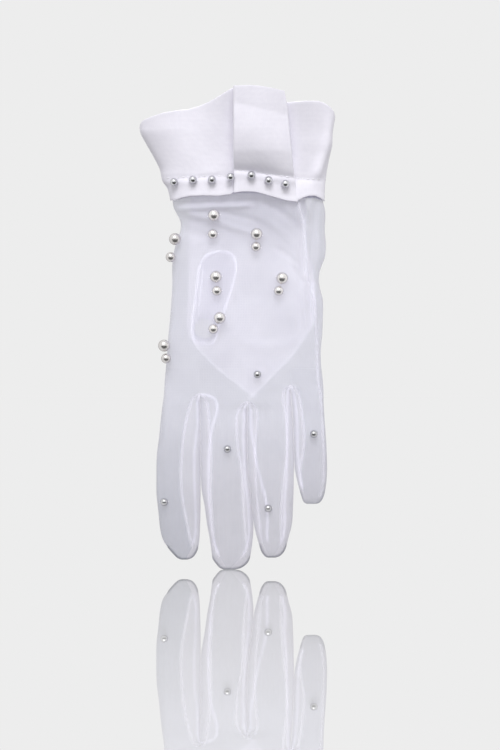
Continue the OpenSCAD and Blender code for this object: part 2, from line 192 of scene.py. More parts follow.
def f_finger(name, x, z):
    t = FD[name]
    x0, x1, b = col(t, z, 1), col(t, z, 2), col(t, z, 3)
    w_ = np.maximum(x1 - x0, 1e-4)
    ff = b * se((x - (x0 + x1) / 2) / (w_ / 2), 2.9)
    zl, zr = CROTCH[name]
    wl = smooth(zl + (4.6 if name != "index" else 14.0), zl, z)
    wr = smooth(zr + (4.6 if name != "little" else 14.0), zr, z)
    fr = np.clip((x - x0) / w_, 0, 1)
    w = wl + (wr - wl) * smooth(0, 1, fr)
    return (1 - w) * f_hand(x, z) + w * ff


def depth(name, x, z, side):
    """How far the net stands from the middle plane. name is hand or a finger."""
    f = f_hand(x, z) if name == "hand" else f_finger(name, x, z)
    return f + wrinkle(x, z, side) * np.minimum(1, f / 5.0) * smooth(0.0, 3.0, f)


def surf(name, x, z, side, lift=0.0):
    """Point on the net and its outward normal, in mm."""
    h = 0.15
    y = side * depth(name, x, z, side)
    dx = side * (depth(name, x + h, z, side) - depth(name, x - h, z, side)) / (2 * h)
    dz = side * (depth(name, x, z + h, side) - depth(name, x, z - h, side)) / (2 * h)
    dx, dz = np.clip(dx, -3, 3), np.clip(dz, -3, 3)
    n = np.array([-dx * side, side * 1.0, -dz * side], float)
    if side < 0:
        n = np.array([dx, -1.0, dz], float)
    else:
        n = np.array([-dx, 1.0, -dz], float)
    n /= np.linalg.norm(n)
    return np.array([x, y, z], float) + n * lift, n


# ---------------------------------------------------------------- meshes
def link(name, me):
    ob = bpy.data.objects.new(name, me)
    bpy.context.scene.collection.objects.link(ob)
    return ob


def finish_mesh(name, verts, faces, uvs, mat, merge=0.02, smooth_on=True):
    """verts in mm. uvs is one (u, v) per vertex, in cm of cloth."""
    me = bpy.data.meshes.new(name)
    me.from_pydata([tuple(float(c) * MM for c in v) for v in verts], [], faces)
    layer = me.uv_layers.new(name="UVMap")
    idx = np.zeros(len(me.loops), np.int32)
    me.loops.foreach_get("vertex_index", idx)
    uv = np.array(uvs, float)[idx]
    layer.data.foreach_set("uv", uv.astype(np.float32).ravel())
    bm = bmesh.new()
    bm.from_mesh(me)
    if merge:
        bmesh.ops.remove_doubles(bm, verts=bm.verts, dist=merge * MM)
        bmesh.ops.dissolve_degenerate(bm, edges=bm.edges, dist=1e-6)
    for v in [v for v in bm.verts if not v.link_faces]:
        bm.verts.remove(v)
    bm.to_mesh(me)
    bm.free()
    me.polygons.foreach_set("use_smooth", [smooth_on] * len(me.polygons))
    me.materials.append(mat)
    me.update()
    return link(name, me)


class Bag:
    """Collects grids of points into one mesh."""

    def __init__(self):
        self.v, self.f, self.uv = [], [], []

    def grid(self, P, UV, flip=False, wrap=False):
        R, C = P.shape[:2]
        base = len(self.v)
        self.v += [p for row in P for p in row]
        self.uv += [q for row in UV for q in row]
        for r in range(R - 1):
            for c in range(C if wrap else C - 1):
                d = (c + 1) % C
                q = (base + r * C + c, base + (r + 1) * C + c, base + (r + 1) * C + d, base + r * C + d)
                self.f.append(q[::-1] if flip else q)
        return base

    def fan(self, ring, flip=False):
        self.f.append(tuple(ring[::-1]) if flip else tuple(ring))

    def make(self, name, mat, merge=0.02):
        return finish_mesh(name, self.v, self.f, self.uv, mat, merge)


def ribbon(bag, path, normals, width, height, sides=10):
    """A rolled seam: a flattened tube along path, closed at both ends. path is N x 3 in mm."""
    P, N = np.array(path, float), np.array(normals, float)
    m = len(P)
    T = np.gradient(P, axis=0)
    T /= np.linalg.norm(T, axis=1)[:, None]
    B = np.cross(T, N)
    B /= np.linalg.norm(B, axis=1)[:, None]
    N = np.cross(B, T)
    L = np.concatenate([[0], np.cumsum(np.linalg.norm(np.diff(P, axis=0), axis=1))])
    taper = np.clip(np.minimum(L, L[-1] - L) / max(width, 0.1) + 0.35, 0, 1)
    rows, uvs = [], []
    for k in range(m):
        row, uv = [], []
        for i in range(sides):
            a = 2 * math.pi * i / sides
            row.append(P[k] + taper[k] * (B[k] * math.cos(a) * width / 2 + N[k] * math.sin(a) * height / 2))
            uv.append((a * width / 40, L[k] / 10))
        rows.append(row)
        uvs.append(uv)
    base = bag.grid(np.array(rows), np.array(uvs), wrap=True)
    bag.fan([base + i for i in range(sides)])
    bag.fan([base + (m - 1) * sides + i for i in range(sides)], flip=True)


def dense(path, step=0.8):
    """Points a step apart along a smooth line through path, which holds (x, z)."""
    r = np.array(path, float)
    p = np.vstack([2 * r[0] - r[1], r, 2 * r[-1] - r[-2]])
    out = []
    for k in range(1, len(p) - 2):
        n = max(2, int(np.linalg.norm(p[k + 1] - p[k]) / step))
        for s in range(n):
            t = s / n
            a, b, c, d = p[k - 1], p[k], p[k + 1], p[k + 2]
            out.append(0.5 * (2 * b + (c - a) * t + (2 * a - 5 * b + 4 * c - d) * t * t
                              + (3 * b - a - 3 * c + d) * t ** 3))
    out.append(r[-1])
    return np.array(out)


# ---------------------------------------------------------------- materials
def node_mat(name):
    m = bpy.data.materials.new(name)
    m.use_nodes = True
    nt = m.node_tree
    b = nt.nodes["Principled BSDF"]
    return m, nt, b


def ramp(nt, src, lo, hi, p0=0.0, p1=1.0):
    r = nt.nodes.new("ShaderNodeValToRGB")
    r.color_ramp.elements[0].position, r.color_ramp.elements[1].position = p0, p1
    r.color_ramp.elements[0].color = (*lo, 1)
    r.color_ramp.elements[1].color = (*hi, 1)
    nt.links.new(src, r.inputs[0])
    return r.outputs["Color"]


def weave(nt, pitch_cm, ratio=1.0):
    """Warp and weft threads on the cloth's own UVs, which are in cm."""
    uv = nt.nodes.new("ShaderNodeUVMap")
    uv.uv_map = "UVMap"
    outs = []
    for axis, k in (("X", 1.0), ("Y", ratio)):
        w = nt.nodes.new("ShaderNodeTexWave")
        w.wave_type, w.bands_direction, w.wave_profile = "BANDS", axis, "SIN"
        w.inputs["Scale"].default_value = k * math.tau / 20 / pitch_cm
        w.inputs["Distortion"].default_value = 0.25
        w.inputs["Detail"].default_value = 1.0
        w.inputs["Detail Scale"].default_value = 0.6
        nt.links.new(uv.outputs["UV"], w.inputs["Vector"])
        outs.append(w.outputs["Fac"])
    mx = nt.nodes.new("ShaderNodeMath")
    mx.operation = "MAXIMUM"
    nt.links.new(outs[0], mx.inputs[0])
    nt.links.new(outs[1], mx.inputs[1])
    return uv, mx.outputs[0]


def noise(nt, uv, scale, detail=3.0, rough=0.55, stretch=None):
    src = uv.outputs["UV"]
    if stretch:
        mp = nt.nodes.new("ShaderNodeMapping")
        mp.inputs["Scale"].default_value = stretch
        nt.links.new(src, mp.inputs["Vector"])
        src = mp.outputs["Vector"]
    n = nt.nodes.new("ShaderNodeTexNoise")
    n.inputs["Scale"].default_value = scale
    n.inputs["Detail"].default_value = detail
    n.inputs["Roughness"].default_value = rough
    nt.links.new(src, n.inputs["Vector"])
    return n.outputs["Fac"]


def mixc(nt, a, b, fac, mode="MULTIPLY"):
    m = nt.nodes.new("ShaderNodeMix")
    m.data_type, m.blend_type = "RGBA", mode
    m.inputs["Factor"].default_value = fac
    nt.links.new(a, m.inputs["A"])
    nt.links.new(b, m.inputs["B"])
    return m.outputs["Result"]


def net_material(name, lo, hi, alpha, pitch=0.13, down=None, span=(-9.6, -13.5), through=0.0):
    """down is painted shade: a darker tint the cloth turns to along the fingers, from span[0] to span[1] cm, for the
    shade towards the fingertips.
    through is painted light: an emission standing in for the light that comes through several layers of white cloth
    from behind."""
    m, nt, b = node_mat(name)
    uv, wv = weave(nt, pitch)
    cloud = ramp(nt, noise(nt, uv, 0.55, 3.0), lo, hi, 0.3, 0.7)
    # painted shade: the cloth is tinted darker towards the fingertips
    if down:
        sp = nt.nodes.new("ShaderNodeSeparateXYZ")
        nt.links.new(uv.outputs["UV"], sp.inputs[0])
        mr = nt.nodes.new("ShaderNodeMapRange")
        mr.interpolation_type = "SMOOTHSTEP"
        mr.inputs["From Min"].default_value, mr.inputs["From Max"].default_value = span
        nt.links.new(sp.outputs["Y"], mr.inputs["Value"])
        cloud = mixc(nt, cloud, ramp(nt, mr.outputs["Result"], (1, 1, 1), down), 1.0)
    thr = ramp(nt, wv, (0.965, 0.965, 0.97), (1, 1, 1), 0.35, 0.95)
    nt.links.new(mixc(nt, cloud, thr, 1.0), b.inputs["Base Color"])
    bump = nt.nodes.new("ShaderNodeBump")
    bump.inputs["Strength"].default_value = 0.18
    bump.inputs["Distance"].default_value = 0.0002
    nt.links.new(wv, bump.inputs["Height"])
    nt.links.new(bump.outputs["Normal"], b.inputs["Normal"])
    b.inputs["Roughness"].default_value = 0.62
    b.inputs["Specular IOR Level"].default_value = 0.25
    b.inputs["Sheen Weight"].default_value = 0.25
    b.inputs["Sheen Roughness"].default_value = 0.4
    b.inputs["Alpha"].default_value = alpha
    # painted light: the cloth glows by emission
    if through:
        b.inputs["Emission Color"].default_value = (0.93, 0.93, 1.0, 1)
        b.inputs["Emission Strength"].default_value = through
    return m


def satin_material(name, lo, hi):
    m, nt, b = node_mat(name)
    uv, wv = weave(nt, 0.11, 0.45)
    cloud = ramp(nt, noise(nt, uv, 0.8, 4.0), lo, hi, 0.3, 0.7)
    slub = ramp(nt, noise(nt, uv, 5.0, 2.0, 0.5, (1.0, 1.0, 1.0)), (0.975, 0.975, 0.98), (1, 1, 1), 0.35, 0.65)
    c1 = mixc(nt, cloud, slub, 1.0)
    thr = ramp(nt, wv, (0.988, 0.988, 0.99), (1, 1, 1), 0.3, 0.9)
    nt.links.new(mixc(nt, c1, thr, 1.0), b.inputs["Base Color"])
    rr = nt.nodes.new("ShaderNodeMapRange")
    rr.inputs["To Min"].default_value, rr.inputs["To Max"].default_value = 0.46, 0.60
    nt.links.new(noise(nt, uv, 3.0, 3.0, 0.5, (3.0, 0.5, 1.0)), rr.inputs["Value"])
    nt.links.new(rr.outputs["Result"], b.inputs["Roughness"])
    bump = nt.nodes.new("ShaderNodeBump")
    bump.inputs["Strength"].default_value = 0.05
    bump.inputs["Distance"].default_value = 0.0001
    nt.links.new(wv, bump.inputs["Height"])
    bump2 = nt.nodes.new("ShaderNodeBump")
    bump2.inputs["Strength"].default_value = 0.14
    bump2.inputs["Distance"].default_value = 0.0012
    nt.links.new(noise(nt, uv, 1.1, 2.0), bump2.inputs["Height"])
    nt.links.new(bump.outputs["Normal"], bump2.inputs["Normal"])
    nt.links.new(bump2.outputs["Normal"], b.inputs["Normal"])
    b.inputs["Specular IOR Level"].default_value = 0.45
    b.inputs["Sheen Weight"].default_value = 0.35
    b.inputs["Sheen Roughness"].default_value = 0.35
    return m


def thread_material(name, c):
    m, nt, b = node_mat(name)
    uv = nt.nodes.new("ShaderNodeUVMap")
    uv.uv_map = "UVMap"
    tw = nt.nodes.new("ShaderNodeTexWave")
    tw.wave_type, tw.bands_direction = "BANDS", "DIAGONAL"
    tw.inputs["Scale"].default_value = 4.0
    nt.links.new(uv.outputs["UV"], tw.inputs["Vector"])
    nt.links.new(ramp(nt, tw.outputs["Fac"], tuple(0.86 * v for v in c), c), b.inputs["Base Color"])
    bump = nt.nodes.new("ShaderNodeBump")
    bump.inputs["Strength"].default_value = 0.5
    bump.inputs["Distance"].default_value = 0.00008
    nt.links.new(tw.outputs["Fac"], bump.inputs["Height"])
    nt.links.new(bump.outputs["Normal"], b.inputs["Normal"])
    b.inputs["Roughness"].default_value = 0.5
    b.inputs["Sheen Weight"].default_value = 0.2
    return m


def pearl_material(name, lo, hi, metal, rough, rim, edge=(1, 1, 1)):
    m, nt, b = node_mat(name)
    tc = nt.nodes.new("ShaderNodeTexCoord")
    n = nt.nodes.new("ShaderNodeTexNoise")
    n.inputs["Scale"].default_value = 260.0
    n.inputs["Detail"].default_value = 3.0
    nt.links.new(tc.outputs["Object"], n.inputs["Vector"])
    # painted shade: pearls towards the index edge are a tone darker
    px = nt.nodes.new("ShaderNodeSeparateXYZ")
    nt.links.new(tc.outputs["Object"], px.inputs[0])
    tone = nt.nodes.new("ShaderNodeMapRange")
    tone.inputs["From Min"].default_value, tone.inputs["From Max"].default_value = -0.0305, -0.0275
    nt.links.new(px.outputs["X"], tone.inputs["Value"])
    tint = ramp(nt, tone.outputs["Result"], edge, (1, 1, 1))
    nt.links.new(mixc(nt, ramp(nt, n.outputs["Fac"], lo, hi, 0.35, 0.65), tint, 1.0), b.inputs["Base Color"])
    rr = nt.nodes.new("ShaderNodeMapRange")
    rr.inputs["To Min"].default_value, rr.inputs["To Max"].default_value = rough * 0.8, rough * 1.25
    nt.links.new(n.outputs["Fac"], rr.inputs["Value"])
    nt.links.new(rr.outputs["Result"], b.inputs["Roughness"])
    b.inputs["Metallic"].default_value = metal
    b.inputs["Specular Tint"].default_value = (*rim, 1)
    b.inputs["Coat Weight"].default_value = 0.2
    b.inputs["Coat Roughness"].default_value = 0.05
    return m


# painted shade: the down tints darken the finger and fourchette cloth towards the fingertips, the index finger's most
TIP_SHADE = (0.82, 0.81, 0.81)
M_NET = net_material("net_cloth", (0.60, 0.60, 0.695), (0.665, 0.665, 0.765), 0.44)
M_FING = net_material("finger_net_cloth", (0.60, 0.60, 0.695), (0.665, 0.665, 0.765), 0.44, down=TIP_SHADE, span=(-11.0, -17.0))
M_INDEX = net_material("index_net_cloth", (0.60, 0.60, 0.695), (0.665, 0.665, 0.765), 0.44, down=(0.64, 0.65, 0.68), span=(-9.6, -18.0))
M_FOUR = net_material("fourchette_cloth", (0.66, 0.65, 0.745), (0.72, 0.71, 0.805), 0.50, down=(0.86, 0.85, 0.85), span=(-11.0, -17.0))
# painted light: the through values on these cloths are emissions that make them glow
M_LINING = net_material("lining_cloth", (0.94, 0.915, 0.975), (0.98, 0.955, 1.0), 0.53, through=0.05)
M_THUMB = net_material("thumb_cloth", (0.62, 0.61, 0.70), (0.68, 0.67, 0.76), 0.36)
M_SEAM = net_material("seam_cloth", (0.82, 0.81, 0.88), (0.88, 0.87, 0.94), 0.088, 0.10)
M_SEAM_P = net_material("palm_seam_cloth", (0.88, 0.87, 0.94), (0.94, 0.93, 1.0), 0.19, 0.10, through=0.05)
M_LITTLE = net_material("little_net_cloth", (0.60, 0.60, 0.69), (0.665, 0.665, 0.76), 0.51, down=TIP_SHADE, span=(-11.0, -17.0))
# painted shade: the little finger's tip seam is coloured dark grey for the shade of the layered cloth at its tip
M_TIP_L = net_material("little_tip_cloth", (0.42, 0.43, 0.46), (0.52, 0.53, 0.56), 0.45, 0.10)
M_CORD = net_material("thumb_seam_cloth", (0.93, 0.92, 0.97), (0.97, 0.96, 1.0), 0.93, 0.10, through=0.08)
# painted light: this strip along the thumb seam glows by a strong emission
M_CORD_GLOW = net_material("thumb_seam_inner_cloth", (0.95, 0.94, 0.98), (0.98, 0.97, 1.0), 0.93, 0.10, through=0.70)
M_HEM = net_material("hem_cloth", (0.95, 0.94, 0.98), (0.98, 0.97, 1.0), 0.22, 0.10, through=0.10)
# painted shade: the tip seams are coloured dark grey for the shade of the layered cloth turning down at the fingertips
M_TIP = net_material("tip_seam_cloth", (0.24, 0.25, 0.28), (0.34, 0.35, 0.38), 0.62, 0.10)
M_SATIN = satin_material("satin_cloth", (0.835, 0.815, 0.895), (0.875, 0.855, 0.935))
M_THREAD = thread_material("sewing_thread", (0.86, 0.85, 0.90))
# painted shade: edge is the darker tone of the pearls towards the index edge
M_PEARL = pearl_material("white_pearl", (0.825, 0.797, 0.79), (0.895, 0.87, 0.87), 0.84, 0.17, (0.49, 0.475, 0.475), edge=(0.89, 0.885, 0.88))
M_PEARL2 = pearl_material("silver_pearl", (0.64, 0.64, 0.67), (0.74, 0.74, 0.77), 0.92, 0.13, (0.42, 0.42, 0.44))
M_PEARL3 = pearl_material("grey_pearl", (0.56, 0.56, 0.58), (0.66, 0.66, 0.68), 0.95, 0.08, (0.30, 0.30, 0.32))


# ---------------------------------------------------------------- hand net
def cos_cols(n, lo, hi):
    """n + 1 fractions from 0 to 1, closer together at the ends that are asked for."""
    t = np.linspace(0, 1, n + 1)
    if lo and hi:
        return (1 - np.cos(np.pi * t)) / 2
    if lo:
        return 1 - np.cos(np.pi * t / 2)
    if hi:
        return np.sin(np.pi * t / 2)
    return t


SEAMS = {  # (z, x) of the seam lines on the back (-1) and palm (1), left (A) and right (B)
    ("index", -1, "B"): [(-107.1, -21.7), (-107.7, -23.4), (-110.2, -25.6), (-118, -27.9), (-126.8, -29.7),
                         (-137.3, -30.7), (-149.8, -31.2), (-159, -30.4), (-168.4, -28.8), (-179.5, -26.6),
                         (-184, -25.6), (-190, -28.6)],
    ("index", 1, "B"): [(-107.2, -21.9), (-112, -22.0), (-120.5, -22.3), (-126.8, -23.3), (-137.3, -24.4),
                        (-149.8, -24.4), (-162.2, -23.8), (-171.5, -23.6), (-179.5, -24.2), (-190, -28.6)],
    ("middle", -1, "A"): [(-107.1, -21.7), (-107.9, -19.9), (-111.4, -18.0), (-124.9, -16.7), (-137.3, -16.0),
                          (-149.8, -16.2), (-162.2, -15.9), (-174.6, -14.8), (-184, -14.0), (-195, -8)],
    ("middle", 1, "A"): [(-107.2, -21.7), (-108.4, -16.2), (-110.5, -13.7), (-115.5, -13.1), (-121.8, -14.8),
                         (-126.8, -16.0), (-140, -17.4), (-160, -17.2), (-182, -14.6), (-195, -8)],
    ("middle", -1, "B"): [(-111.1, 2.2), (-112.0, 0.2), (-114.6, -2.0), (-119, -3.4), (-126.8, -3.3), (-134.9, -2.7),
                          (-143.5, -1.1), (-152.9, -0.2), (-168.4, 0.5), (-179.5, 1.3), (-185.8, 1.5), (-195, -6.6)],
    ("middle", 1, "B"): [(-111.3, 1.8), (-116, 0.9), (-130, 0.2), (-150, 1.2), (-168, 3.0), (-184, 2.0), (-195, -6.6)],
    ("ring", -1, "A"): [(-111.1, 2.2), (-112.0, 4.4), (-114.6, 6.6), (-118.6, 7.3), (-126.8, 6.4), (-137.3, 6.1), (-149.8, 6.6),
                        (-162.2, 7.4), (-174.6, 8.6), (-180.8, 9.4), (-189, 13.4)],
    ("ring", 1, "A"): [(-111.3, 2.3), (-116, 3.4), (-125, 4.2), (-140.4, 6.4), (-152.9, 9.5), (-159, 11.3),
                       (-168.4, 12.2), (-180.8, 12.2), (-189, 13.4)],
    ("ring", -1, "B"): [(-102.7, 23.8), (-103.6, 22.0), (-106.4, 20.1), (-114, 20.6), (-125, 21.8), (-137.5, 21.6),
                        (-150, 20.5), (-162.5, 19.3), (-175, 19.0), (-183, 18.6), (-189, 15)],
    ("ring", 1, "B"): [(-102.8, 23.6), (-109, 22.6), (-137, 22.4), (-156, 21.5), (-162, 20.9), (-178, 20.6), (-189, 15)],
    ("little", -1, "A"): [(-102.7, 23.8), (-103.6, 25.7), (-107.6, 28.0), (-118.7, 29.7), (-126.8, 30.6),
                          (-132.4, 30.6), (-142.3, 28.9), (-147.3, 28.6), (-154.8, 30.0), (-162, 32.2)],
    ("little", 1, "A"): [(-102.8, 23.9), (-108, 25.6), (-120, 27.0), (-140, 27.6), (-154, 29.6), (-162, 32.2)],
}


def seam_x(name, side, which, z):
    """x of a seam at z, kept inside the finger; above the web it's the finger's own edge."""
    t = FD[name]
    x0, x1 = col(t, z, 1), col(t, z, 2)
    tab = SEAMS.get((name, side, which))
    if tab is None:
        return x0 if which == "A" else x1
    tab = np.array(tab, float)
    x = np.interp(-np.asarray(z, float), -tab[:, 0], tab[:, 1])
    top = tab[0, 0]
    m = 0.06 * smooth(top, top - 3, z) * (x1 - x0)
    x = np.clip(x, x0 + m, x1 - m)
    edge = x0 if which == "A" else x1
    return np.where(np.asarray(z) > top, edge, x)


NCOL = {"index": (0, 16, 9), "middle": (7, 13, 7), "ring": (6, 12, 6), "little": (7, 12, 0)}


def finger_cols(name, side, z):
    """x of every column at z, and the column numbers of the two seams."""
    t = FD[name]
    x0, x1 = col(t, z, 1), col(t, z, 2)
    a, b = seam_x(name, side, "A", z), seam_x(name, side, "B", z)
    n0, n1, n2 = NCOL[name]
    parts = []
    if n0:
        parts.append(x0[:, None] + (a - x0)[:, None] * cos_cols(n0, True, False)[None, :-1])
    parts.append(a[:, None] + (b - a)[:, None] * cos_cols(n1, n0 == 0, n2 == 0)[None, :])
    if n2:
        parts.append((b[:, None] + (x1 - b)[:, None] * cos_cols(n2, False, True)[None, :])[:, 1:])
    return np.hstack(parts), n0, n0 + n1


def finger_rows(name):
    tip = FD[name][-1, 0]
    zc = sorted({z for z in CROTCH[name]} | {Z_TOP}, reverse=True)
    rows = [Z_TOP]
    marks = [z for z in zc if z < Z_TOP] + [tip + 9.0]
    for m in marks:
        n = max(1, int(round((rows[-1] - m) / 1.3)))
        rows += list(np.linspace(rows[-1], m, n + 1)[1:])
    k = np.linspace(0, np.pi / 2, 15)[1:]
    rows += list(tip + 9.0 - 9.0 * np.sin(k))
    return np.array(rows)


def finger_grid(name, side):
    z = finger_rows(name)
    X, ca, cb = finger_cols(name, side, z)
    Z = np.repeat(z[:, None], X.shape[1], 1)
    Y = side * depth(name, X, Z, side)
    P = np.dstack([X, Y, Z])
    d = np.sqrt((np.diff(X, axis=1) ** 2 + np.diff(Y, axis=1) ** 2))
    U = np.hstack([np.zeros((len(z), 1)), np.cumsum(d, axis=1)])
    U = (U - U[:, [U.shape[1] // 2]]) / 10 * side
    V = Z / 10
    return P, np.dstack([U, V]), ca, cb


TOP_X = {}
for nm in ORDER:
    for sd in (-1, 1):
        g, _, _, _ = finger_grid(nm, sd)
        TOP_X[nm, sd] = g[0, :, 0]


def on_finger(ob):
    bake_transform(ob)
    return ob


hand_bag = Bag()
hz = np.concatenate([np.linspace(3.0, -8, 12), np.linspace(-8, -44, 61)[1:], np.linspace(-44, Z_TOP, 46)[1:]])
for sd in (-1, 1):
    xt = [TOP_X["index", sd]]
    for nm in ORDER[1:]:
        xt.append(TOP_X[nm, sd][1:])
    xt = np.concatenate(xt)
    xt = xt[np.concatenate([[True], np.diff(xt) > 0.012])]
    l0, r0 = hand_edges(np.array([Z_TOP]))
    fr = (xt - l0) / (r0 - l0)
    # between the knuckles and the wrist the columns spread evenly
    even = (1 - np.cos(np.pi * np.linspace(0, 1, len(fr)))) / 2 * 0.45 + np.linspace(0, 1, len(fr)) * 0.55
    l, r = hand_edges(hz)
    k = smooth(-70, Z_TOP, hz)[:, None]
    FR = fr[None, :] * k + even[None, :] * (1 - k)
    X = l[:, None] + (r - l)[:, None] * FR
    Z = np.repeat(hz[:, None], X.shape[1], 1)
    Y = sd * depth("hand", X, Z, sd)
    dd = np.sqrt(np.diff(X, axis=1) ** 2 + np.diff(Y, axis=1) ** 2)
    U = np.hstack([np.zeros((len(hz), 1)), np.cumsum(dd, axis=1)])
    U = (U - U[:, [U.shape[1] // 2]]) / 10 * sd
    hand_bag.grid(np.dstack([X, Y, Z]), np.dstack([U, Z / 10]), flip=sd > 0)
hand = hand_bag.make("hand_net_cloth", M_NET)
bm = bmesh.new()
bm.from_mesh(hand.data)
cx, cz, cr = -19.5 * MM, -74 * MM, 5.2 * MM
hole = [f for f in bm.faces if f.calc_center_median().y > 0.003
        and math.hypot(f.calc_center_median().x - cx, f.calc_center_median().z - cz) < cr]
bmesh.ops.delete(bm, geom=hole, context="FACES")
rim = [v for v in bm.verts if v.is_boundary and v.co.y > 0.003
       and math.hypot(v.co.x - cx, v.co.z - cz) < cr * 1.6]
for v in rim:       # the rim is drawn out to a true circle
    a = math.atan2(v.co.z - cz, v.co.x - cx)
    nx, nz = cx + cr * math.cos(a), cz + cr * math.sin(a)
    v.co.x, v.co.z = nx, nz
    v.co.y = float(depth("hand", nx / MM, nz / MM, 1)) * MM
bm.to_mesh(hand.data)
bm.free()
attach(hand, "hand")
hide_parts("hand_net")


# ---------------------------------------------------------------- fingers
def seam_path(name, side, which, stop=6.0):
    tab = SEAMS[name, side, which]
    pts = dense([(x, z) for z, x in tab], 0.7)
    t = FD[name]
    top = pts[0][1]
    out = []
    for x, z in pts:
        if z < t[-1, 0] + stop:
            break
        x0, x1 = col(t, z, 1), col(t, z, 2)
        m = 0.07 * (x1 - x0) * float(smooth(top, top - 4, z))
        out.append((float(np.clip(x, x0 + m, x1 - m)), float(z)))
    return out


def seam_ribbon(bag, name, side, pts, width=1.5, height=0.55, lift=0.18):
    """The allowance lies flat and the roll of the seam runs down its middle."""
    P, N = [], []
    for x, z in pts:
        p, n = surf(name, x, z, side, lift)
        P.append(p)
        N.append(n)
    P, N = np.array(P), np.array(N)
    for _ in range(4):
        N[1:-1] = (N[:-2] + N[1:-1] + N[2:]) / 3
        P[1:-1] = (P[:-2] + 2 * P[1:-1] + P[2:]) / 4
    ribbon(bag, P, N, width, height * 0.55)
    ribbon(bag, P + N * 0.12, N, width * 0.66, height)


def tip_seam(bag, name, up=7.0):
    """The turned seam round the fingertip, on the outline where back and palm meet."""
    t = FD[name]
    tip = t[-1, 0]
    ang = np.linspace(0, 1, 16)
    zs = tip + up * (1 - np.sin(ang * np.pi / 2))
    left = [(float(col(t, z, 1)), z) for z in zs]
    right = [(float(col(t, z, 2)), z) for z in zs[::-1]]
    xm = (left[-1][0] + right[0][0]) / 2
    loop = left[:-1] + [(left[-1][0] * 0.6 + xm * 0.4, tip - 0.1), (right[0][0] * 0.6 + xm * 0.4, tip - 0.1)] + right[1:]
    pts = dense(loop, 0.6)
    P = np.array([(x, 0.0, z) for x, z in pts])
    c = np.array([xm, 0, tip + up * 0.8])
    N = P - c
    N /= np.linalg.norm(N, axis=1)[:, None]
    P = P - N * 0.40
    ribbon(bag, P, N, 1.8, 1.0)


four_nodes = {("index", "B"): "index_fourchette", ("middle", "A"): "middle_fourchette_index_side",
              ("middle", "B"): "middle_fourchette_ring_side", ("ring", "A"): "ring_fourchette_middle_side",
              ("ring", "B"): "ring_fourchette_little_side", ("little", "A"): "little_fourchette"}
net_pieces, seam_pieces = {}, {}
for nm in ORDER:
    G = {sd: finger_grid(nm, sd) for sd in (-1, 1)}
    bag = Bag()
    for sd in (-1, 1):
        P, UV, ca, cb = G[sd]
        bag.grid(P[:, ca:cb + 1], UV[:, ca:cb + 1], flip=sd > 0)
    ob = bag.make(nm + "_net_cloth", {"index": M_INDEX, "little": M_LITTLE}.get(nm, M_FING))
    on_finger(ob)
    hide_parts(nm + "_net")
    net_pieces[nm] = ob
    for which in ("A", "B"):
        node = four_nodes.get((nm, which))
        if node is None:
            continue
        bag = Bag()
        for sd in (-1, 1):
            P, UV, ca, cb = G[sd]
            sl = slice(0, ca + 1) if which == "A" else slice(cb, None)
            bag.grid(P[:, sl], UV[:, sl], flip=sd > 0)
        ob = bag.make(node + "_cloth", M_FOUR)
        on_finger(ob)
        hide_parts(node)
    bag = Bag()
    for which in ("A", "B"):
        if (nm, -1, which) in SEAMS:
            seam_ribbon(bag, nm, -1, seam_path(nm, -1, which), 1.9, 0.55, 0.25)
    if nm == "little":   # the hand's side seam runs on down this finger
        pts = [(38.7, -106), (39.5, -118.7), (40.1, -131), (40.3, -143.5), (39.9, -152), (38.4, -158.4)]
        seam_ribbon(bag, nm, -1, [(float(x), float(z)) for x, z in dense(pts, 0.7)])
    ob = bag.make(nm + "_seam_rolls", M_SEAM, merge=0)
    on_finger(ob)
    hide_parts(nm + "_seams")
    seam_pieces[nm] = ob
    bag = Bag()
    for which in ("A", "B"):
        if (nm, 1, which) in SEAMS:
            seam_ribbon(bag, nm, 1, seam_path(nm, 1, which, 7.0), 1.8, 0.4, -0.4)
    ob = bag.make(nm + "_palm_seam_rolls", M_SEAM_P, merge=0)
    on_finger(ob)
    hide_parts(nm + "_seams")
    bag = Bag()
    tip_seam(bag, nm)
    # painted shade: the tip seam cloth is coloured dark grey
    ob = bag.make(nm + "_tip_seam", M_TIP_L if nm == "little" else M_TIP, merge=0)
    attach(ob, nm + "_finger")

# ---------------------------------------------------------------- palm lining and its seam
lining_rows = np.concatenate([np.linspace(1.5, -70, 48), np.linspace(-70, -107.2, 32)[1:]])
L_LEFT = [(2, -26.5), (-50, -27.4), (-70, -28.4), (-78.0, -27.6), (-85, -21.2), (-92.8, -14), (-100, -4.6), (-107.4, 5)]
R_RIGHT = [(2, 31), (-30, 32), (-50, 36), (-62, 37), (-71, 35.4), (-80, 29.6), (-89.5, 22.5), (-100, 12), (-107.4, 5.2)]


def tab_x(tab, z):
    tab = np.array(tab, float)
    return np.interp(-np.asarray(z, float), -tab[:, 0], tab[:, 1])


bag = Bag()
lx, rx = tab_x(L_LEFT, lining_rows), tab_x(R_RIGHT, lining_rows)
t = np.linspace(0, 1, 37)
X = lx[:, None] + (rx - lx)[:, None] * t[None, :]
Z = np.repeat(lining_rows[:, None], X.shape[1], 1)
Y = depth("hand", X, Z, 1) * 0.93 - 0.7
bag.grid(np.dstack([X, Y, Z]), np.dstack([X / 10, Z / 10]), flip=True)
lining = bag.make("palm_lining_cloth", M_LINING)
bm = bmesh.new()
bm.from_mesh(lining.data)
hole = [f for f in bm.faces if math.hypot(f.calc_center_median().x - cx, f.calc_center_median().z - cz) < cr * 1.05]
bmesh.ops.delete(bm, geom=hole, context="FACES")
bm.to_mesh(lining.data)
bm.free()
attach(lining, "hand")
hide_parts("palm_lining")

